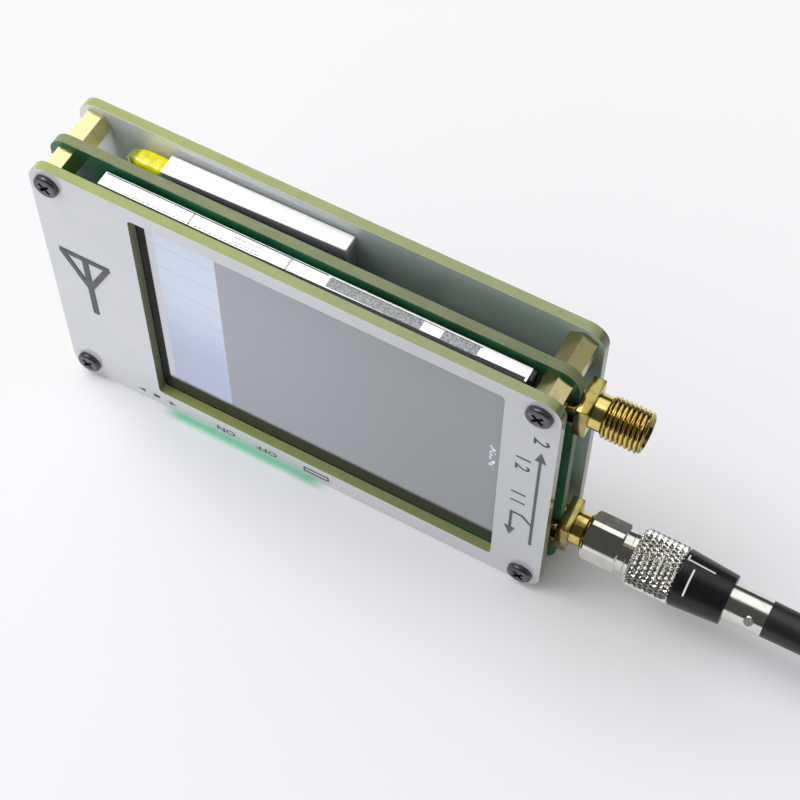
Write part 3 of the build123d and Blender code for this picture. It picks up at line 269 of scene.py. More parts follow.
# Places along X where the painted shade towards the jacks starts and is full, and how strong each painted
# shade or painted light is
WHITE_PAINTED_SHADE_SPAN = (LEFT + 10.0, RIGHT - 8.0)
WHITE_PAINTED_SHADE, INSIDE_PAINTED_LIGHT, END_PAINTED_SHADE, TOP_PAINTED_SHADE = 0.27, 0.8, 0.72, 0.25
BACK_PLATE_INSIDE, INSIDE_SOFT = (4.0, 5.85), 0.02


def white_board():
    """Pale mask with painted shade towards the jacks, painted light and a painted greenish reflection inside
    the back plate, and painted shade on edges facing the jacks and on top edges at the right.
    """
    finish = laminate(
        "white_board", shade(214, 215, 219), shade(208, 210, 214), shade(178, 187, 112), shade(148, 156, 78),
        mask_roughness=0.16, coat=0.8, coat_roughness=0.04,
    )
    right = finish.step(finish.axes()[X], *WHITE_PAINTED_SHADE_SPAN)
    # Painted shade: the mask turns darker towards the jacks
    face = finish.mix(finish.times(right, WHITE_PAINTED_SHADE), finish.painted(), shade(130, 132, 136))
    # Painted light and painted reflection: inside the back plate the mask is paler at the left and tinted
    # greenish at the right
    inside = finish.band(finish.axes()[Y], *BACK_PLATE_INSIDE, INSIDE_SOFT)
    tone = finish.mix(right, shade(250, 251, 253), shade(176, 198, 184))
    face = finish.mix(finish.times(inside, INSIDE_PAINTED_LIGHT), face, tone)
    # Painted shade: surfaces facing the jacks, such as the window's left wall and the right ends, are
    # darker, most at the right
    end = finish.times(finish.step(finish.facing(X), *ON_EDGE), END_PAINTED_SHADE)
    face = finish.mix(end, face, finish.mix(right, shade(103, 107, 97), shade(62, 66, 56)))
    # Painted shade: upward-facing edges turn olive and darker towards the right
    above = finish.times(finish.step(finish.facing(Z), *ON_EDGE), right)
    finish.colour(finish.mix(finish.times(above, TOP_PAINTED_SHADE), face, shade(88, 98, 60)))
    return finish.material


# Places along X where the painted shade towards the jacks starts and is full, and how strong it is
GREEN_PAINTED_SHADE_SPAN = (LEFT + 30.0, RIGHT - 8.0)
GREEN_PAINTED_SHADE = 0.35


def green_board():
    """Green mask with painted shade towards the jacks."""
    finish = laminate(
        "green_board", shade(36, 118, 76), shade(20, 84, 54), shade(152, 158, 118), shade(106, 114, 78),
        mask_roughness=0.2,
    )
    right = finish.step(finish.axes()[X], *GREEN_PAINTED_SHADE_SPAN)
    # Painted shade: the mask turns darker towards the jacks
    finish.colour(finish.mix(finish.times(right, GREEN_PAINTED_SHADE), finish.painted(), shade(58, 72, 52)))
    return finish.material


def metal(name, colour, dull, roughness, grain, depth=0.006, wear=0.35):
    """Plated or bare metal: grain along one axis, and a duller film in patches."""
    finish = Finish(name, roughness, metallic=1.0)
    lines = finish.noise(1.0, 2.0, grain)
    patches = finish.step(finish.noise(0.6, 3.0), 0.45, 0.75)
    finish.colour(finish.mix(finish.times(patches, wear), colour, dull))
    finish.rough(finish.blend(finish.math("ADD", lines, patches), roughness * 0.8, roughness * 1.5))
    finish.bump(lines, depth)
    return finish


# Changes of the painted shade past the middle along X and inside the main board along Y, so only the rear
# right standoffs count
RIGHT_HALF, BEHIND_MAIN_BOARD = (0.0, 1.0), (-1.0, -0.5)
REAR_PAINTED_SHADE = 0.6


def brass():
    """Pale brass, with painted shade on the rear standoffs at the right."""
    finish = metal("brass", shade(236, 224, 166), shade(176, 158, 92), 0.15, (4.0, 0.3, 4.0))
    x, y, _ = finish.axes()
    rear = finish.times(finish.step(x, *RIGHT_HALF), finish.step(y, *BEHIND_MAIN_BOARD))
    # Painted shade: the rear standoffs at the right are darker
    finish.colour(finish.mix(finish.times(rear, REAR_PAINTED_SHADE), finish.painted(), shade(112, 106, 66)))
    return finish.material


# Distances from the axis between which a valley turns into a crest, and places along X, for the painted
# shade in the valleys and on the flanges
VALLEY_REACH = (2.8, 3.08)
VALLEY_START = (RIGHT + THREAD_X - 0.1, RIGHT + THREAD_X + 0.1)
FLANGE_END = (RIGHT + FLANGE_X, RIGHT + FLANGE_X + 0.2)
VALLEY_PAINTED_SHADE, FLANGE_PAINTED_SHADE = 0.75, 0.5


def gold_plate():
    """Gold with painted shade on the flanges and in the valleys of the threads."""
    finish = metal(
        "gold_plate", shade(222, 202, 122), shade(160, 130, 68), 0.12, (9.0, 0.5, 0.5), wear=0.6,
    )
    x, y, z = finish.axes()
    upper, lower = (sum(box_mm(f"{place}_jack_body"), Vector()) / 2 for place in ("upper", "lower"))
    off = [finish.math("ABSOLUTE", finish.math("SUBTRACT", z, middle.z)) for middle in (upper, lower)]
    up = finish.math("MINIMUM", *off)
    out = finish.math("SUBTRACT", y, upper.y)
    reach = finish.math("SQRT", finish.math("ADD", finish.times(up, up), finish.times(out, out)))
    # Painted shade: the valleys of the threads are darker
    valley = finish.inverse(finish.step(reach, *VALLEY_REACH))
    valley = finish.times(valley, finish.step(x, *VALLEY_START))
    face = finish.mix(finish.times(valley, VALLEY_PAINTED_SHADE), finish.painted(), shade(88, 64, 30))
    # Painted shade: the flanges are darker, against the bright reflection on their tops
    flange = finish.inverse(finish.step(x, *FLANGE_END))
    finish.colour(finish.mix(finish.times(flange, FLANGE_PAINTED_SHADE), face, shade(98, 88, 42)))
    return finish.material


def nickel():
    return metal("nickel", shade(228, 226, 218), shade(184, 180, 168), 0.1, (0.5, 4.0, 4.0), 0.004).material


def tin():
    return metal("tin", shade(214, 214, 212), shade(150, 150, 148), 0.28, (1.0, 1.0, 6.0)).material


def steel():
    return metal("steel", shade(205, 204, 200), shade(140, 138, 134), 0.26, (0.4, 6.0, 6.0)).material


def display_metal():
    finish = metal(
        "display_metal", shade(246, 246, 244), shade(222, 223, 224), 0.3, (0.3, 5.0, 5.0), wear=0.25,
    )
    return finish.material


FINE_GRAIN, GRAIN_DETAIL = 4.0, 3.0


def uneven(name, roughness, metallic=0.0):
    """Moulded or painted stuff before its colour and its grain: slow changes of gloss."""
    finish = Finish(name, roughness, metallic)
    changes = finish.noise(1.5, 2.0)
    finish.rough(finish.blend(changes, roughness * 0.8, min(1.0, roughness * 1.25)))
    return finish


def rubbed(name, colour, worn, roughness, metallic=0.0):
    """Moulded or painted stuff before its grain, with slow changes of tone and paler rubbed places."""
    finish = uneven(name, roughness, metallic)
    finish.colour(finish.mix(finish.step(finish.noise(0.7, 4.0), 0.5, 0.8), colour, worn))
    return finish


def moulded(name, colour, worn, roughness, depth=0.01, grain=FINE_GRAIN, metallic=0.0):
    """Moulded or painted stuff with rubbed places and a grain."""
    finish = rubbed(name, colour, worn, roughness, metallic)
    finish.bump(finish.noise(grain, GRAIN_DETAIL), depth)
    return finish.material


def black_screw():
    return moulded("black_screw", shade(92, 92, 94), shade(122, 122, 124), 0.3, 0.01, 8.0, metallic=0.9)


def chip():
    return moulded("chip", shade(40, 40, 43), shade(56, 56, 58), 0.55, 0.012, 9.0)


def foam():
    finish = rubbed("foam", shade(20, 20, 21), shade(34, 34, 35), 0.95)
    finish.bump(finish.cells(3.0), 0.12, 1.0)
    return finish.material


TRACKS_TURN, TRACKS_ABOVE = 9.0, 0.1


def flex():
    """Amber film with copper tracks that run up it."""
    finish = uneven("flex", 0.22)
    wave = finish.math("SINE", finish.times(finish.axes()[X], TRACKS_TURN))
    tracks = finish.math("GREATER_THAN", wave, TRACKS_ABOVE)
    finish.colour(finish.mix(tracks, shade(206, 142, 52), shade(150, 88, 22)))
    finish.bump(finish.noise(FINE_GRAIN, GRAIN_DETAIL), 0.004)
    return finish.material


def white_insulator():
    finish = rubbed("white_insulator", shade(238, 237, 230), shade(224, 222, 212), 0.42)
    finish.bump(finish.noise(FINE_GRAIN, GRAIN_DETAIL), 0.01)
    finish.shader.inputs["Subsurface Weight"].default_value = 0.1
    finish.shader.inputs["Subsurface Radius"].default_value = (MM, MM, MM)
    return finish.material


# Depths under the pouch's top where the painted shade on its sides is full and where it ends
POUCH_PAINTED_SHADE_DEPTHS = (2.4, 0.2)


def pouch():
    """Satin foil of a battery pouch with faint soft dents, and painted shade low on its sides."""
    finish = Finish("pouch", 0.3, metallic=0.5)
    top = box_mm("battery_cell")[1].z
    dents = finish.noise(0.25, 2.0, (0.5, 1.0, 1.0))
    upper = finish.step(finish.axes()[Z], *(top - depth for depth in POUCH_PAINTED_SHADE_DEPTHS))
    # Painted shade: the lower sides are grey and the top is white
    finish.colour(finish.mix(upper, shade(196, 198, 202), shade(250, 250, 251)))
    finish.rough(finish.blend(finish.noise(2.0, 2.0), 0.25, 0.4))
    finish.bump(dents, 0.2, 0.3)
    return finish.material


# Places from the left end where the painted shade on the olive tip ends
TAPE_TIP_SHADE = (1.4, 2.2)


def amber_tape():
    """Clear amber tape: yellow where it lies flat, and olive with painted shade where it folds over the tip.
    """
    finish = Finish("amber_tape", 0.16, coat=0.5)
    left = box_mm("battery_board")[0].x
    folds = finish.noise(0.9, 3.0, (1.0, 1.0, 0.5))
    tip = finish.inverse(finish.step(finish.axes()[X], *(left + place for place in TAPE_TIP_SHADE)))
    yellow = finish.mix(finish.step(folds, 0.45, 0.7), shade(255, 248, 0), shade(232, 214, 0))
    # Painted shade: the rounded tip turns olive
    finish.colour(finish.mix(tip, yellow, shade(150, 158, 40)))
    finish.bump(folds, 0.35, 0.6)
    return finish.material


WIRE_CHANGE = 0.1


def wire_skin():
    """The wire nearer to the plug's left end is red, and the other one is black."""
    finish = uneven("wire_skin", 0.36)
    low, high = box_mm("battery_plug")
    middle = (low.x + high.x) / 2
    black = finish.step(finish.axes()[X], middle - WIRE_CHANGE, middle + WIRE_CHANGE)
    finish.colour(finish.mix(black, shade(176, 26, 22), shade(30, 30, 32)))
    finish.bump(finish.noise(FINE_GRAIN, GRAIN_DETAIL), 0.01)
    return finish.material


LED_STRENGTH = 2.0


def led_lens():
    finish = Finish("led_lens", 0.2)
    lit = finish.mix(finish.noise(1.4, 2.0), shade(90, 255, 170), shade(200, 255, 225))
    finish.colour(lit)
    finish.glow(lit, LED_STRENGTH)
    return finish.material


def diffuser():
    return moulded("diffuser", shade(236, 238, 240), shade(226, 228, 230), 0.6)


def display_cell():
    return moulded("display_cell", shade(70, 74, 80), shade(84, 88, 94), 0.15, 0.003)


def cream_plastic():
    return moulded("cream_plastic", shade(232, 226, 206), shade(240, 236, 222), 0.42)


def black_plastic():
    return moulded("black_plastic", shade(34, 34, 36), shade(52, 52, 54), 0.42)


def ferrite():
    return moulded("ferrite", shade(74, 74, 77), shade(98, 98, 100), 0.7, 0.03)


def capacitor():
    return moulded("capacitor", shade(168, 136, 98), shade(190, 160, 122), 0.5)


def resistor():
    return moulded("resistor", shade(44, 44, 48), shade(84, 84, 88), 0.5)


def black_barrel():
    return moulded("black_barrel", shade(24, 24, 28), shade(36, 36, 41), 0.3, 0.004, 9.0, metallic=0.3)


def black_rubber():
    return moulded("black_rubber", shade(26, 26, 27), shade(44, 44, 45), 0.38, 0.01, 1.6)


# Screen: what it shows, as stripes across and bands down, in plate places

SCREEN_BORDER, BORDER_SOFT = 18.15, 0.05
KEYS_LEFT, KEYS_RIGHT = 19.4, 29.8
KEY_FIRST_LINE, KEY_PITCH, KEY_LINE, KEY_LINE_SHARE = 8.6, 5.4, 0.22, 0.35
# Pitches that are added so that places above the first line count as positive
PITCHES_ABOVE = 4
# IMAGE_END and MASK_START bound the black mask at the bottom, darkened further by painted reflection and
# painted shade
IMAGE_END, MASK_START = 45.2, 46.6
FIELD_FADE, KEYS_FADE = (28.0, 74.0), (18.0, 38.0)
CLOUD_SHARE = 0.3
SIGNS_ACROSS, SIGNS_DOWN, SIGNS_BREAKS = (74.7, 75.7), (20.4, 27.2), (0.5, 0.56)
# CORNER_ACROSS and CORNER_DOWN place a painted shade: a dark green patch for the main board seen past the
# display's lower corner
CORNER_ACROSS, CORNER_DOWN = (69.0, 76.5), (48.7, 50.2)
SCREEN_STRENGTH = 0.25


def signs(finish, u, v):
    """Small broken marks near the right end of the picture."""
    place = finish.times(finish.band(u, *SIGNS_ACROSS), finish.band(v, *SIGNS_DOWN))
    return finish.times(place, finish.step(finish.noise(1.6, 1.0), *SIGNS_BREAKS))


def touch_glass():
    """The lit screen under its glossy touch panel: soft keys at the left, a plain field, a black rim with
    painted shade, a black bottom mask with painted reflection and shade, and a painted shaded board at a
    corner.
    """
    finish = Finish("touch_glass", 0.08, specular=0.5)
    x, _, z = finish.axes()
    u = finish.math("SUBTRACT", x, LEFT)
    v = finish.math("SUBTRACT", TOP, z)
    field = finish.mix(finish.step(u, *FIELD_FADE), shade(146, 149, 155), shade(125, 127, 131))
    field = finish.mix(finish.times(finish.noise(0.03, 2.0), CLOUD_SHARE), field, shade(150, 152, 158))
    field = finish.mix(signs(finish, u, v), field, shade(208, 210, 226))
    keys = finish.mix(finish.step(v, *KEYS_FADE), shade(192, 201, 218), shade(168, 177, 202))
    offset = finish.math("ADD", finish.math("SUBTRACT", v, KEY_FIRST_LINE), PITCHES_ABOVE * KEY_PITCH)
    lines = finish.math("LESS_THAN", finish.math("MODULO", offset, KEY_PITCH), KEY_LINE)
    keys = finish.mix(finish.times(lines, KEY_LINE_SHARE), keys, shade(140, 150, 174))
    picture = finish.mix(finish.band(u, KEYS_LEFT, KEYS_RIGHT), field, keys)
    picture = finish.mix(finish.band(u, SCREEN_BORDER, KEYS_LEFT), picture, shade(192, 194, 198))
    # The black mask at the bottom: partly the screen's own border, partly a painted reflection of the
    # window's wall and painted shade
    picture = finish.mix(finish.step(v, IMAGE_END, MASK_START), picture, shade(40, 42, 36))
    # Painted shade: a dark green patch for the shaded main board seen past the display
    corner = finish.times(finish.band(u, *CORNER_ACROSS, 0.4), finish.band(v, *CORNER_DOWN, 0.3))
    picture = finish.mix(corner, picture, shade(22, 62, 40))
    # The black rim at the left: partly the display's own black border, partly painted shade of the gap
    # beside it
    rim = finish.inverse(finish.step(u, SCREEN_BORDER - BORDER_SOFT, SCREEN_BORDER + BORDER_SOFT))
    picture = finish.mix(rim, picture, shade(20, 21, 22))
    front = finish.step(finish.times(finish.facing(Y), -1.0), *ON_FACE)
    finish.colour(finish.mix(front, shade(60, 68, 66), picture))
    finish.glow(finish.mix(front, (0, 0, 0, 1), picture), SCREEN_STRENGTH)
    finish.bump(finish.noise(0.25, 2.0), 0.004, 0.3)
    return finish.material


FINISHES = {
    make.__name__: make()
    for make in (
        white_board, green_board, brass, black_screw, touch_glass, display_metal, display_cell, diffuser,
        foam, flex, gold_plate, white_insulator, pouch, amber_tape, cream_plastic, wire_skin, steel,
        black_plastic, chip, tin, ferrite, capacitor, resistor, led_lens, nickel, black_barrel,
        black_rubber,
    )
}


def strap():
    """Woven black strap with a fine pile."""
    finish = rubbed("strap", shade(30, 30, 32), shade(58, 58, 62), 0.9)
    weave = finish.math("ADD", finish.noise(1.0, 2.0, (7.0, 1.5, 1.5)), finish.noise(9.0, 2.0))
    finish.bump(weave, 0.15, 0.9)
    return finish.material


def finish_frame():
    """Each node of the frame gets the finish of its slot in the record, and the straps are woven."""
    for row in frame["record"]["subparts"]:
        for place in frame["nodes"][row["node"]].material_slots:
            place.material = FINISHES[row["material_slot"]]
    for place in frame["nodes"]["lead_ties"].material_slots:
        place.material = strap()


finish_frame()


# Building pieces

def link(name, data, slot, body="chassis", material=None):
    piece = bpy.data.objects.new(name, data)
    bpy.context.scene.collection.objects.link(piece)
    data.materials.clear()
    data.materials.append(material or FINISHES[slot])
    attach(piece, body)
    return piece


def mesh_piece(name, form, slot, body="chassis", material=None, smooth_below=None):
    """A piece from a bmesh in millimetres."""
    bmesh.ops.scale(form, vec=(MM, MM, MM), verts=form.verts)
    bmesh.ops.recalc_face_normals(form, faces=form.faces)
    data = bpy.data.meshes.new(name)
    form.to_mesh(data)
    form.free()
    if smooth_below is not None:
        data.shade_smooth()
        data.set_sharp_from_angle(angle=math.radians(smooth_below))
    return link(name, data, slot, body, material)


def add_block(form, low, high, radius=0.0, segments=2):
    """A box between two corners with rounded edges."""
    low, high = Vector(low), Vector(high)
    size = high - low
    matrix = Matrix.Translation((low + high) / 2) @ Matrix.Diagonal((*size, 1.0))
    verts = bmesh.ops.create_cube(form, size=1.0, matrix=matrix)["verts"]
    if radius:
        edges = list({edge for vert in verts for edge in vert.link_edges})
        bmesh.ops.bevel(
            form, geom=edges, offset=radius, segments=segments, profile=0.5, affect="EDGES",
            clamp_overlap=True,
        )


def add_turned(form, stations, y, z, segments, radius):
    """A closed turned form round an axis along X.

    Each station is a place along X and a base radius, which the function radius changes round its ring.
    """
    rings = []
    for x, base in stations:
        ring = []
        for index in range(segments):
            angle = 2 * math.pi * index / segments
            reach = radius(x, angle, base)
            ring.append(form.verts.new((x, y + reach * math.cos(angle), z + reach * math.sin(angle))))
        rings.append(ring)
    for first, second in zip(rings, rings[1:] + rings[:1]):
        for index in range(segments):
            after = (index + 1) % segments
            form.faces.new((first[index], first[after], second[after], second[index]))


# Test lead: its cord. What the photograph doesn't show is folded into a hank in line with the analyzer

CORD_RADIUS = 2.5
CORD_STEPS = 6
EXIT = (91.44, -0.2, 11.0)
LEAD_Y, LEAD_Z = EXIT[1:]
CABLE_ROUTE = [
    EXIT, (100.44, -0.2, 11.0), (109.44, -0.5, 10.36), (118.44, -1.3, 7.88), (128.44, -1.2, 4.6),
    (139.44, -1.1, 3.0),
]
TAIL_ROUTE = [(130.94, 33.9, 3.0), (121.94, 33.6, 3.2), (112.94, 32.0, 4.1), (103.94, 32.0, 4.1)]
HANK_LEFT, HANK_RIGHT, HANK_HEIGHT = 125.94, 200.94, 3.0
# Folds in their order: middle of each, its radius and the direction in degrees where it begins
HANK_FOLDS = [
    (HANK_RIGHT, 13.9, 15.0, -90.0), (HANK_LEFT, 11.4, 17.5, 90.0), (HANK_RIGHT, 13.9, 20.0, -90.0),
]
FOLD_POINTS = 9
RUN_POINTS = 3


def hank_points():
    """Half circles at the folds, joined by straight runs."""
    points = []
    for x, y, radius, start in HANK_FOLDS:
        fold = []
        for index in range(FOLD_POINTS + 1):
            angle = math.radians(start + 180 * index / FOLD_POINTS)
            fold.append((x + radius * math.cos(angle), y + radius * math.sin(angle), HANK_HEIGHT))
        before = points[-1] if points else CABLE_ROUTE[-1]
        for index in range(1, RUN_POINTS + 1):
            share = index / (RUN_POINTS + 1)
            points.append(tuple(a + (b - a) * share for a, b in zip(before, fold[0])))
        points += fold
    return points


def make_cord():
    route = CABLE_ROUTE + hank_points() + TAIL_ROUTE
    data = bpy.data.curves.new("lead_cord", "CURVE")
    data.dimensions = "3D"
    data.bevel_depth = CORD_RADIUS * MM
    data.bevel_resolution = CORD_STEPS
    data.resolution_u = CORD_STEPS
    data.use_fill_caps = True
    spline = data.splines.new("NURBS")
    spline.points.add(len(route) - 1)
    for point, place in zip(spline.points, route):
        point.co = (*(value * MM for value in place), 1.0)
    spline.order_u = 3
    spline.use_endpoint_u = True
    cord = link("lead_cord", data, "black_rubber")
    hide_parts("lead_cable", "lead_hank", "lead_tail")
    return cord


# Threads of the jacks and the knurl of the ring

def make_jack(node):
    """A gold jack: square flange with four legs on the board, a neck and a cut thread."""
    low, high = box_mm(node)
    y, z = (low.y + high.y) / 2, (low.z + high.z) / 2
    start, end = RIGHT, high.x
    span = end - start - THREAD_X
    form = bmesh.new()
    half = JACK_SIDE / 2
    add_block(form, (start, y - half, z - half), (start + FLANGE_X, y + half, z + half), FLANGE_ROUNDING)
    board_low, board_high = box_mm("main_board")
    for inner, outer in ((board_low.y - LEG_DEPTH, board_low.y), (board_high.y, board_high.y + LEG_DEPTH)):
        for offset in (-LEG_OFFSET, LEG_OFFSET):
            leg_low = (low.x, inner, z + offset - LEG_WIDTH / 2)
            leg_high = (start + INTO_FLANGE, outer, z + offset + LEG_WIDTH / 2)
            add_block(form, leg_low, leg_high, LEG_ROUNDING)

    def cut(x, angle, base):
        """Radius in the thread: a crest that winds along the axis and fades at both ends."""
        if base != CREST_RADIUS:
            return base
        along = x - start - THREAD_X
        phase = (along / THREAD_PITCH - angle / (2 * math.pi)) % 1.0
        crest = min(1.0, CREST_STEEPNESS * abs(2 * phase - 1))
        fade = min(1.0, along / FADE_IN + FADE_START, (end - x) / FADE_OUT)
        return CREST_RADIUS - THREAD_DEPTH * (1 - crest * max(0.0, fade))

    steps = round(span / THREAD_PITCH * THREAD_STEPS)
    root = start + FLANGE_X - INTO_FLANGE
    stations = [(root, BORE_RADIUS), (root, NECK_RADIUS), (start + THREAD_X - NECK_SLOPE, NECK_RADIUS)]
    stations += [(start + THREAD_X + span * index / steps, CREST_RADIUS) for index in range(steps)]
    stations += [(end - LIP_LENGTH, LIP_RADIUS), (end, RIM_RADIUS)]
    stations += [(end, MOUTH_RADIUS + MOUTH_BEVEL_WIDTH), (end - MOUTH_BEVEL_LENGTH, MOUTH_RADIUS)]
    stations += [(end - MOUTH_DEPTH, MOUTH_RADIUS), (end - MOUTH_DEPTH, BORE_RADIUS)]
    add_turned(form, stations, y, z, THREAD_SEGMENTS, cut)
    piece = mesh_piece(f"{node}_threaded", form, "gold_plate", smooth_below=40)
    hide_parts(node)


KNURLS_ROUND = 34
KNURL_PITCH = 0.86
KNURL_DEPTH = 0.34
KNURL_STEPS = 6
KNURL_STEEPNESS = 1.35
RING_BORE, RING_EDGE, RIM_DROP = 3.4, 0.3, 0.05


def make_knurled_ring():
    """The ring with crossed left and right knurls that leave small diamonds standing."""
    low, high = box_mm("knurled_ring")
    y, z = (low.y + high.y) / 2, (low.z + high.z) / 2
    reach = (high.z - low.z) / 2
    rim = reach - KNURL_DEPTH - RIM_DROP
    start, span = low.x + RING_EDGE, high.x - low.x - 2 * RING_EDGE
    count = round((high.x - low.x) / KNURL_PITCH * KNURL_STEPS)

    def knurl(x, angle, base):
        if base != reach:
            return base
        around = angle / (2 * math.pi) * KNURLS_ROUND
        along = (x - low.x) / KNURL_PITCH
        heights = [abs(2 * ((around + side * along / 2) % 1.0) - 1) for side in (1, -1)]
        return reach - KNURL_DEPTH * (1 - min(1.0, KNURL_STEEPNESS * min(heights)))

    stations = [(low.x, RING_BORE), (low.x, rim)]
    stations += [(start + span * index / count, reach) for index in range(count + 1)]
    stations += [(high.x, rim), (high.x, RING_BORE)]
    form = bmesh.new()
    add_turned(form, stations, y, z, KNURLS_ROUND * KNURL_STEPS, knurl)
    piece = mesh_piece("knurled_ring_cut", form, "nickel", "knurled_ring", smooth_below=24)
    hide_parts("knurled_ring")
    return piece


# White marks on the lead, as thin patches on the turned surfaces

def add_patch(form, places, angles, radius_at, steps=16):
    """A thin patch on a turned surface, between two places along X and two angles in degrees."""
    grids = []
    for out in (0.0, PRINT_THICKNESS):
        grid = []
        for x in places:
            row = []
            for index in range(steps + 1):
                angle = math.radians(angles[0] + (angles[1] - angles[0]) * index / steps)
                reach = radius_at(x) + out
                place = (x, LEAD_Y + reach * math.cos(angle), LEAD_Z + reach * math.sin(angle))
                row.append(form.verts.new(place))
            grid.append(row)
        grids.append(grid)
    for index in range(steps):
        for grid in grids:
            form.faces.new((grid[0][index], grid[0][index + 1], grid[1][index + 1], grid[1][index]))
        for side in (0, 1):
            inner, outer = grids[0][side], grids[1][side]
            form.faces.new((inner[index], inner[index + 1], outer[index + 1], outer[index]))
    for index in (0, steps):
        form.faces.new((grids[0][0][index], grids[0][1][index], grids[1][1][index], grids[1][0][index]))


MARK_WIDTH, RING_MARK_WIDTH = 0.28, 0.2
BARREL_END_RADIUS = 4.0
# Places along X from the start of the barrel or the ring, and angles in degrees
LINE_X, LINE_ANGLES = 1.7, (92, 150)
BRACKET_X, BRACKET_ANGLES = 0.2, (66, 80)
ARM_LENGTH, ARM_ANGLES, ARM_STEPS = 4.6, (76, 79.5), 4
RING_MARK_X, RING_MARK_ANGLES = 4.3, (92, 145)


def make_lead_marks():
    """Alignment marks: a line round the barrel and an angled bracket before it."""
    low, high = box_mm("lead_barrel")
    start_radius = (high.z - low.z) / 2

    def radius_at(x):
        return start_radius + (BARREL_END_RADIUS - start_radius) * (x - low.x) / (high.x - low.x)

    form = bmesh.new()
    line, bracket = low.x + LINE_X, low.x + BRACKET_X
    add_patch(form, (line, line + MARK_WIDTH), LINE_ANGLES, radius_at)
    add_patch(form, (bracket, bracket + MARK_WIDTH), BRACKET_ANGLES, radius_at)
    add_patch(form, (bracket, bracket + ARM_LENGTH), ARM_ANGLES, radius_at, ARM_STEPS)
    return mesh_piece("lead_barrel_marks", form, "white_insulator")


def make_ring_mark():
    """A thin white line on the knurl."""
    low, high = box_mm("knurled_ring")
    form = bmesh.new()
    x = low.x + RING_MARK_X
    reach = (high.z - low.z) / 2 - PRINT_THICKNESS
    add_patch(form, (x, x + RING_MARK_WIDTH), RING_MARK_ANGLES, lambda _: reach)
    return mesh_piece("knurled_ring_mark", form, "white_insulator", "knurled_ring")


# Battery pouch and its taped end

POUCH_LEAN = 0.9
POUCH_THIN = 0.6
POUCH_SHORT = 0.7
POUCH_SLACK = 0.3
POUCH_ROUNDING = 0.2


def make_pouch():
    """A flat pouch with crisp edges; its right end stands a little off the foam and is thinner."""
    low, high = box_mm("battery_cell")
    form = bmesh.new()
    add_block(form, low, (high.x - POUCH_SHORT, high.y - POUCH_SLACK, high.z), POUCH_ROUNDING)
    for vert in form.verts:
        share = (vert.co.x - low.x) / (high.x - low.x)
        back = (vert.co.y - low.y) / (high.y - POUCH_SLACK - low.y)
        vert.co.y += share * (POUCH_LEAN - POUCH_THIN * back)
    piece = mesh_piece("battery_pouch", form, "pouch", smooth_below=15)
    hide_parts("battery_cell")


TAPE_ROUNDING, TAPE_SEGMENTS, TAPE_CUTS = 0.8, 4, 12
LONG_EDGE = 2
TIP_LENGTH, TIP_NARROWING, TIP_DROP = 3.4, 0.5, 0.5


def make_taped_end():
    """The circuit and folded tabs at the pouch's end under amber tape, with a narrower rounded tip."""
    low, high = box_mm("battery_board")
    form = bmesh.new()
    add_block(form, low, high, TAPE_ROUNDING, TAPE_SEGMENTS)
    long_edges = [e for e in form.edges if abs(e.verts[0].co.x - e.verts[1].co.x) > LONG_EDGE]
    bmesh.ops.subdivide_edges(form, edges=long_edges, cuts=TAPE_CUTS)
    middle_y = (low.y + high.y) / 2
    for vert in form.verts:
        share = max(0.0, 1 - (vert.co.x - low.x) / TIP_LENGTH)
        vert.co.y = middle_y + (vert.co.y - middle_y) * (1 - TIP_NARROWING * share * share)
        if vert.co.z > (low.z + high.z) / 2:
            vert.co.z -= TIP_DROP * share * share
    piece = mesh_piece("battery_taped_end", form, "amber_tape", smooth_below=50)
    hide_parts("battery_board")


# Display: seams and crinkled foil on its upper side

FOIL_SPANS = ((47.4, 62.2), (65.3, 70.9))
FOIL_FRONT, FOIL_BACK, FOIL_LIFT, FOIL_ROUNDING = 0.35, 0.45, 0.03, 0.01
SEAM_PLACES = (25.2, 41.1)
SEAM_LINE, SEAM_BACK = 0.14, 0.2
# Lines: where each starts and ends along u, and its two distances from the display's back
BACK_LINES = (
    (10.6, 47.0, 0.3, 0.14), (47.6, 71.2, 0.42, 0.3), (32.2, 36.4, 1.0, 0.92), (32.2, 36.4, 1.75, 1.67),
)
DASHES, DASH_LEFT, DASH_LENGTH, DASH_PITCH = 26, 15.0, 0.5, 0.85
DASH_FRONT, DASH_BACK = 0.18, 0.3
WEDGE_LEFT, WEDGE_WIDTH, WEDGE_END = 36.0, 0.6, 0.3
END_FOAM_FRONT, END_FOAM_WIDTH, END_FOAM_ROUNDING = 0.5, 0.7, 0.15
END_FOAM_TOP, END_FOAM_BOTTOM = 0.1, 3.0


def foil_finish():
    finish = Finish("side_foil", 0.4, metallic=0.5)
    speck = finish.noise(5.5, 4.0)
    finish.colour(finish.mix(finish.step(speck, 0.35, 0.6), shade(118, 120, 122), shade(178, 180, 182)))
    finish.bump(speck, 0.12, 0.8)
    return finish.material


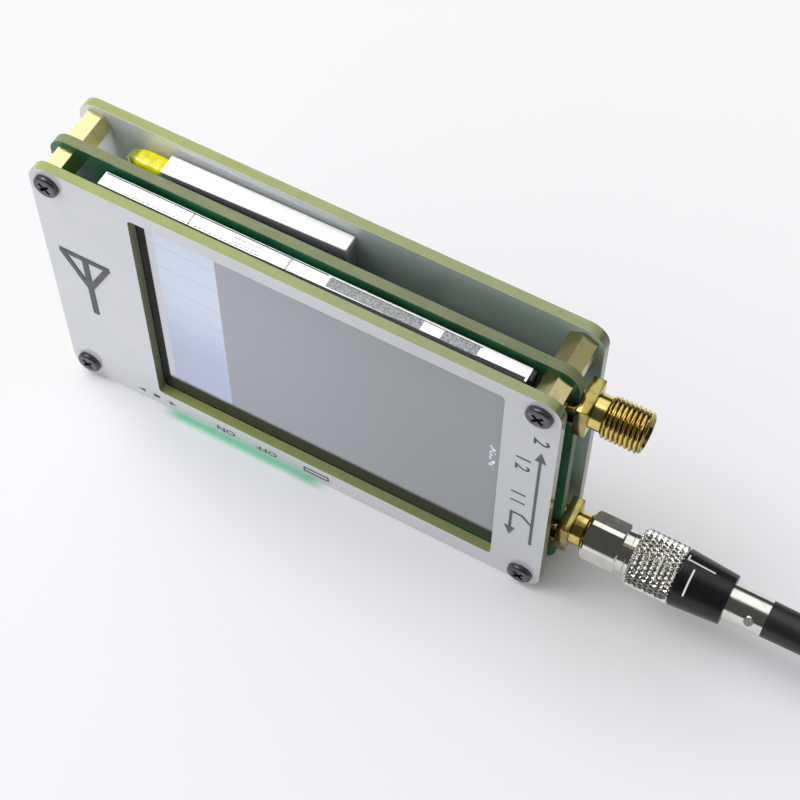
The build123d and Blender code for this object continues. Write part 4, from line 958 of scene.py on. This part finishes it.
def make_display_side():
    """Foil strips, seams and the dark lines that run along both sides of the display's upper edge, and a
    dark wedge of painted shadow in the gap in front of it.
    """
    low, high = box_mm("display_frame")
    foil, lines = bmesh.new(), bmesh.new()
    line_top = high.z + FOIL_LIFT / 2

    def line(u0, u1, y0, y1):
        add_block(lines, (LEFT + u0, y0, high.z), (LEFT + u1, y1, line_top))

    for start, end in FOIL_SPANS:
        foil_low = (LEFT + start, low.y + FOIL_FRONT, high.z)
        foil_high = (LEFT + end, high.y - FOIL_BACK, high.z + FOIL_LIFT)
        add_block(foil, foil_low, foil_high, FOIL_ROUNDING, 1)
    for u in SEAM_PLACES:
        line(u, u + SEAM_LINE, low.y, high.y - SEAM_BACK)
    for start, end, far, near in BACK_LINES:
        line(start, end, high.y - far, high.y - near)
    for index in range(DASHES):
        u = DASH_LEFT + index * DASH_PITCH
        line(u, u + DASH_LENGTH, low.y + DASH_FRONT, low.y + DASH_BACK)
    # A dark wedge of painted shadow in the gap in front of the display, wider towards the right
    wedge_right = high.x - LEFT - WEDGE_END
    corners = [(WEDGE_LEFT, 0.0), (wedge_right, 0.0), (wedge_right, WEDGE_WIDTH)]
    rings = []
    for z in (high.z, line_top):
        rings.append([lines.verts.new((LEFT + u, low.y + depth, z)) for u, depth in corners])
        lines.faces.new(rings[-1])
    for index in range(len(corners)):
        after = (index + 1) % len(corners)
        lines.faces.new((rings[0][index], rings[0][after], rings[1][after], rings[1][index]))
    # Foam at the display's right end
    foam_low = (high.x, low.y + END_FOAM_FRONT, high.z - END_FOAM_BOTTOM)
    foam_high = (high.x + END_FOAM_WIDTH, high.y, high.z - END_FOAM_TOP)
    add_block(lines, foam_low, foam_high, END_FOAM_ROUNDING)
    dark_line = moulded("dark_line", shade(30, 31, 33), shade(44, 45, 47), 0.5)
    mesh_piece("display_side_foil", foil, "tin", material=foil_finish())
    mesh_piece("display_side_seams", lines, "foam", material=dark_line)


# Prints on the front plate, each flat shape a little thicker than the one before, so no two fronts are level

STROKE_STEP = 0.0002


def add_outline(form, points):
    """A flat printed shape on the front plate, from its corners as plate places."""
    thickness = PRINT_THICKNESS + STROKE_STEP * len(form.faces)
    backs = [form.verts.new(on_plate(u, v, 0.0)) for u, v in points]
    fronts = [form.verts.new(on_plate(u, v, -thickness)) for u, v in points]
    form.faces.new(fronts)
    form.faces.new(backs)
    for index in range(len(points)):
        after = (index + 1) % len(points)
        form.faces.new((fronts[index], fronts[after], backs[after], backs[index]))


def add_line(form, start, end, width):
    along = Vector((end[0] - start[0], end[1] - start[1])).normalized()
    side = Vector((-along.y, along.x)) * width / 2
    a, b = Vector(start), Vector(end)
    add_outline(form, [tuple(a + side), tuple(b + side), tuple(b - side), tuple(a - side)])


FIGURE_SHARE = 0.7
FIGURE_WEIGHT = 0.02
FIGURE_STEPS = 4


def add_words(form, text, u, v, height, turn, stretch=1.0):
    """Figures or ON and OFF, centred on a plate place and turned in the plate's face, in degrees."""
    data = bpy.data.curves.new("words", "FONT")
    data.body = text
    data.size = height / FIGURE_SHARE
    data.align_x = "CENTER"
    data.align_y = "CENTER"
    data.resolution_u = FIGURE_STEPS
    data.offset = FIGURE_WEIGHT * height
    source = bpy.data.objects.new("words", data)
    bpy.context.scene.collection.objects.link(source)
    flat = bpy.data.meshes.new_from_object(source)
    bpy.data.objects.remove(source)
    angle = math.radians(turn)
    letters = bmesh.new()
    letters.from_mesh(flat)
    made = bmesh.ops.extrude_face_region(letters, geom=list(letters.faces))["geom"]
    for part in made:
        if isinstance(part, bmesh.types.BMVert):
            part.co.z = PRINT_THICKNESS
    for vert in letters.verts:
        across = vert.co.x * stretch * math.cos(angle) - vert.co.y * math.sin(angle)
        up = vert.co.x * stretch * math.sin(angle) + vert.co.y * math.cos(angle)
        vert.co = on_plate(u + across, v - up, -vert.co.z)
    ready = bpy.data.meshes.new("words")
    letters.to_mesh(ready)
    letters.free()
    form.from_mesh(ready)


UPSIDE_DOWN, SIDEWAYS = 180, -90
LINE_WIDTH, SOCKET_LINE, AERIAL_LINE = 0.42, 0.22, 1.0
THIN_LINE = 0.8 * LINE_WIDTH
SWITCH_WORD, SWITCH_STRETCH = 1.3, 1.2
PORT_NUMBER, SMALL_NUMBER = 2.4, 2.3
# Corners and ends as plate places
JOG_SHAPES = (
    ((12.5, 51.9), (13.7, 51.4), (13.7, 52.4)),
    ((19.6, 52.0), (18.4, 51.5), (18.4, 52.5)),
    ((15.3, 51.5), (16.5, 51.5), (16.5, 52.3), (15.3, 52.3)),
)
SOCKET_CORNERS = ((43.7, 51.4), (48.1, 51.4), (48.1, 52.4), (43.7, 52.4))
PATH_SHAFT, PATH_HEAD = ((83.2, 40.8), (83.2, 14.8)), ((83.2, 12.9), (82.35, 15.4), (84.05, 15.4))
BRANCH_SHAFT, BRANCH_HEAD = ((79.7, 33.0), (79.7, 38.4)), ((79.7, 40.4), (78.85, 38.0), (80.55, 38.0))
BRIDGE_LINES = (((79.5, 33.1), (81.3, 33.1)), ((81.3, 33.0), (83.2, 35.0)))
AERIAL_LINES = (
    ((7.0, 19.0), (7.0, 34.0)), ((2.6, 19.3), (11.4, 19.3)),
    ((2.9, 19.3), (7.0, 27.0)), ((11.1, 19.3), (7.0, 27.0)),
)


def make_prints():
    form = bmesh.new()
    # Jog, switch and socket marks along the lower edge
    for corners in JOG_SHAPES:
        add_outline(form, corners)
    add_words(form, "ON", 29.05, 52.2, SWITCH_WORD, UPSIDE_DOWN, SWITCH_STRETCH)
    add_words(form, "OFF", 36.7, 52.4, SWITCH_WORD, UPSIDE_DOWN, SWITCH_STRETCH)
    for start, end in zip(SOCKET_CORNERS, SOCKET_CORNERS[1:] + SOCKET_CORNERS[:1]):
        add_line(form, start, end, SOCKET_LINE)
    # Signal path beside the jacks, with the ports' numbers
    for shaft, head in ((PATH_SHAFT, PATH_HEAD), (BRANCH_SHAFT, BRANCH_HEAD)):
        add_line(form, *shaft, LINE_WIDTH)
        add_outline(form, head)
    for start, end in BRIDGE_LINES:
        add_line(form, start, end, THIN_LINE)
    add_words(form, "2", 82.9, 10.2, PORT_NUMBER, SIDEWAYS)
    add_words(form, "1 2", 80.5, 17.9, SMALL_NUMBER, SIDEWAYS)
    add_words(form, "1 1", 80.35, 28.2, SMALL_NUMBER, SIDEWAYS)
    # A plain aerial sign where the maker's picture would be
    for start, end in AERIAL_LINES:
        add_line(form, start, end, AERIAL_LINE)
    ink = moulded("ink", shade(84, 86, 92), shade(104, 106, 112), 0.5, 0.004)
    mesh_piece("front_plate_prints", form, "black_plastic", material=ink)


# Floor, its glow and the light

FLOOR_HALF = 20.0
FLOOR_FADE, FLOOR_SLANT = (-60.0, 150.0), 0.5
FLOOR_CLOUD = 0.15
# Span of the painted green light and painted contact shade on the table in front of the plate
GLOW_LEFT, GLOW_RIGHT, GLOW_DEPTH = 18.6, 46.5, 1.1
GLOW_SOFT_ENDS, GLOW_SOFT_SIDES = 2.2, 0.7


def make_floor():
    """White table with painted shade that makes it greyer to the right, and painted green lamp light with
    the plate's painted contact shade close to the front plate.
    """
    form = bmesh.new()
    corners = [(-1, -1), (1, -1), (1, 1), (-1, 1)]
    form.faces.new([form.verts.new((x * FLOOR_HALF, y * FLOOR_HALF, 0.0)) for x, y in corners])
    data = bpy.data.meshes.new("floor")
    form.to_mesh(data)
    form.free()
    finish = Finish("floor", 0.7, specular=0.2)
    x, y, _ = finish.axes()
    # Painted shade: the table turns greyer towards the right
    far_right = finish.step(finish.math("SUBTRACT", x, finish.times(y, FLOOR_SLANT)), *FLOOR_FADE)
    base = finish.mix(far_right, shade(248, 248, 249), shade(240, 240, 243))
    base = finish.mix(finish.times(finish.noise(0.02, 3.0), FLOOR_CLOUD), base, shade(238, 238, 242))
    # Painted light and painted shade: a mint patch for the status lamps' green light in the plate's contact
    # shade
    lit = finish.band(x, LEFT + GLOW_LEFT, LEFT + GLOW_RIGHT, GLOW_SOFT_ENDS)
    near = finish.band(y, FACE - GLOW_DEPTH, FACE + GLOW_DEPTH, GLOW_SOFT_SIDES)
    finish.colour(finish.mix(finish.times(lit, near), base, shade(144, 212, 182)))
    floor = bpy.data.objects.new("floor", data)
    data.materials.append(finish.material)
    bpy.context.scene.collection.objects.link(floor)


GLOW_COLOUR = (0.05, 1.0, 0.42)
GLOW_POWER = 0.000015
GLOW_LENGTH, GLOW_WIDTH = 22, 0.8
GLOW_U, GLOW_HEIGHT, GLOW_W = 31.0, 1.6, -0.7


def make_glow():
    """The green light of the status lamps that falls on the table under the front plate."""
    data = bpy.data.lights.new("glow", "AREA")
    data.shape = "RECTANGLE"
    data.size, data.size_y = GLOW_LENGTH * MM, GLOW_WIDTH * MM
    data.color = GLOW_COLOUR
    data.energy = GLOW_POWER
    lamp = bpy.data.objects.new("glow", data)
    lamp.location = on_plate(GLOW_U, TOP - GLOW_HEIGHT, GLOW_W) * MM
    lamp.visible_camera = False
    bpy.context.scene.collection.objects.link(lamp)


SUN_FROM = (-0.4, 0.0, 0.7)
SUN_STRENGTH = 1.4
SUN_SPREAD = 40.0


def make_sun():
    data = bpy.data.lights.new("window", "SUN")
    data.energy = SUN_STRENGTH
    data.angle = math.radians(SUN_SPREAD)
    sun = bpy.data.objects.new("window", data)
    sun.rotation_euler = Vector(SUN_FROM).to_track_quat("Z", "Y").to_euler()
    bpy.context.scene.collection.objects.link(sun)


DIM_FROM = (0.95, 0.31, 0.0)
SIDE_WINDOW_FROM, SIDE_WINDOW_EDGE, SIDE_WINDOW_STRENGTH = (0.62, 0.45, 0.65), (0.9, 0.97), 0.65
WINDOW_FROM, WINDOW_EDGE, WINDOW_STRENGTH = (-0.24, 0.44, 0.865), (0.8, 0.93), 1.3
# Where a change starts and ends, and the strength before and after it
EVEN_CHANGE = (-0.69, 0.6, 1.06, 0.27)
ROOM_CHANGE = (-0.8, -0.4, 0.4, 0.07)
BACKDROP_TOP = (0.0, 0.03)
WORLD_COLOUR = (0.98, 0.99, 1.0, 1.0)


def make_world():
    """Even soft light, weaker from the right, and a white backdrop that reaches low all round.

    Above the backdrop, shiny things see a dark room with two bright windows.
    """
    world = bpy.data.worlds.new("studio")
    world.use_nodes = True
    bpy.context.scene.world = world
    tree = world.node_tree
    background = tree.nodes["Background"]
    place = tree.nodes.new("ShaderNodeTexCoord").outputs["Generated"]

    def node(kind, values, output=0, **settings):
        made = tree.nodes.new(kind)
        for key, value in settings.items():
            setattr(made, key, value)
        for socket, value in zip(made.inputs, values):
            if isinstance(value, bpy.types.NodeSocket):
                tree.links.new(value, socket)
            else:
                socket.default_value = value
        return made.outputs[output]

    def ranged(value, start, end, low, high):
        return node("ShaderNodeMapRange", (value, start, end, low, high), interpolation_type="SMOOTHSTEP")

    def towards(direction):
        return node("ShaderNodeVectorMath", (place, direction), "Value", operation="DOT_PRODUCT")

    across = node("ShaderNodeSeparateXYZ", (place,))
    height = node("ShaderNodeSeparateXYZ", (place,), "Z")
    even = ranged(towards(DIM_FROM), *EVEN_CHANGE)
    room = ranged(across, *ROOM_CHANGE)
    room = ranged(towards(SIDE_WINDOW_FROM), *SIDE_WINDOW_EDGE, room, SIDE_WINDOW_STRENGTH)
    seen = ranged(towards(WINDOW_FROM), *WINDOW_EDGE, room, WINDOW_STRENGTH)
    seen = ranged(height, *BACKDROP_TOP, 1.0, seen)
    shiny = node("ShaderNodeLightPath", (), "Is Glossy Ray")
    camera = node("ShaderNodeLightPath", (), "Is Camera Ray")
    through = node("ShaderNodeLightPath", (), "Is Transmission Ray")
    camera = node("ShaderNodeMath", (camera, through), operation="MAXIMUM")
    level = node("ShaderNodeMapRange", (shiny, 0.0, 1.0, even, seen))
    level = node("ShaderNodeMapRange", (camera, 0.0, 1.0, level, 1.0))
    tree.links.new(level, background.inputs["Strength"])
    background.inputs["Color"].default_value = WORLD_COLOUR


def make_light():
    scene = bpy.context.scene
    scene.view_settings.view_transform = "Standard"
    make_world()
    make_sun()
    make_glow()


cord = make_cord()
ring = make_knurled_ring()
marks = make_lead_marks()
ring_mark = make_ring_mark()
make_jack("upper_jack_body")
make_jack("lower_jack_body")
make_pouch()
make_taped_end()
make_display_side()
make_prints()
make_floor()
make_light()
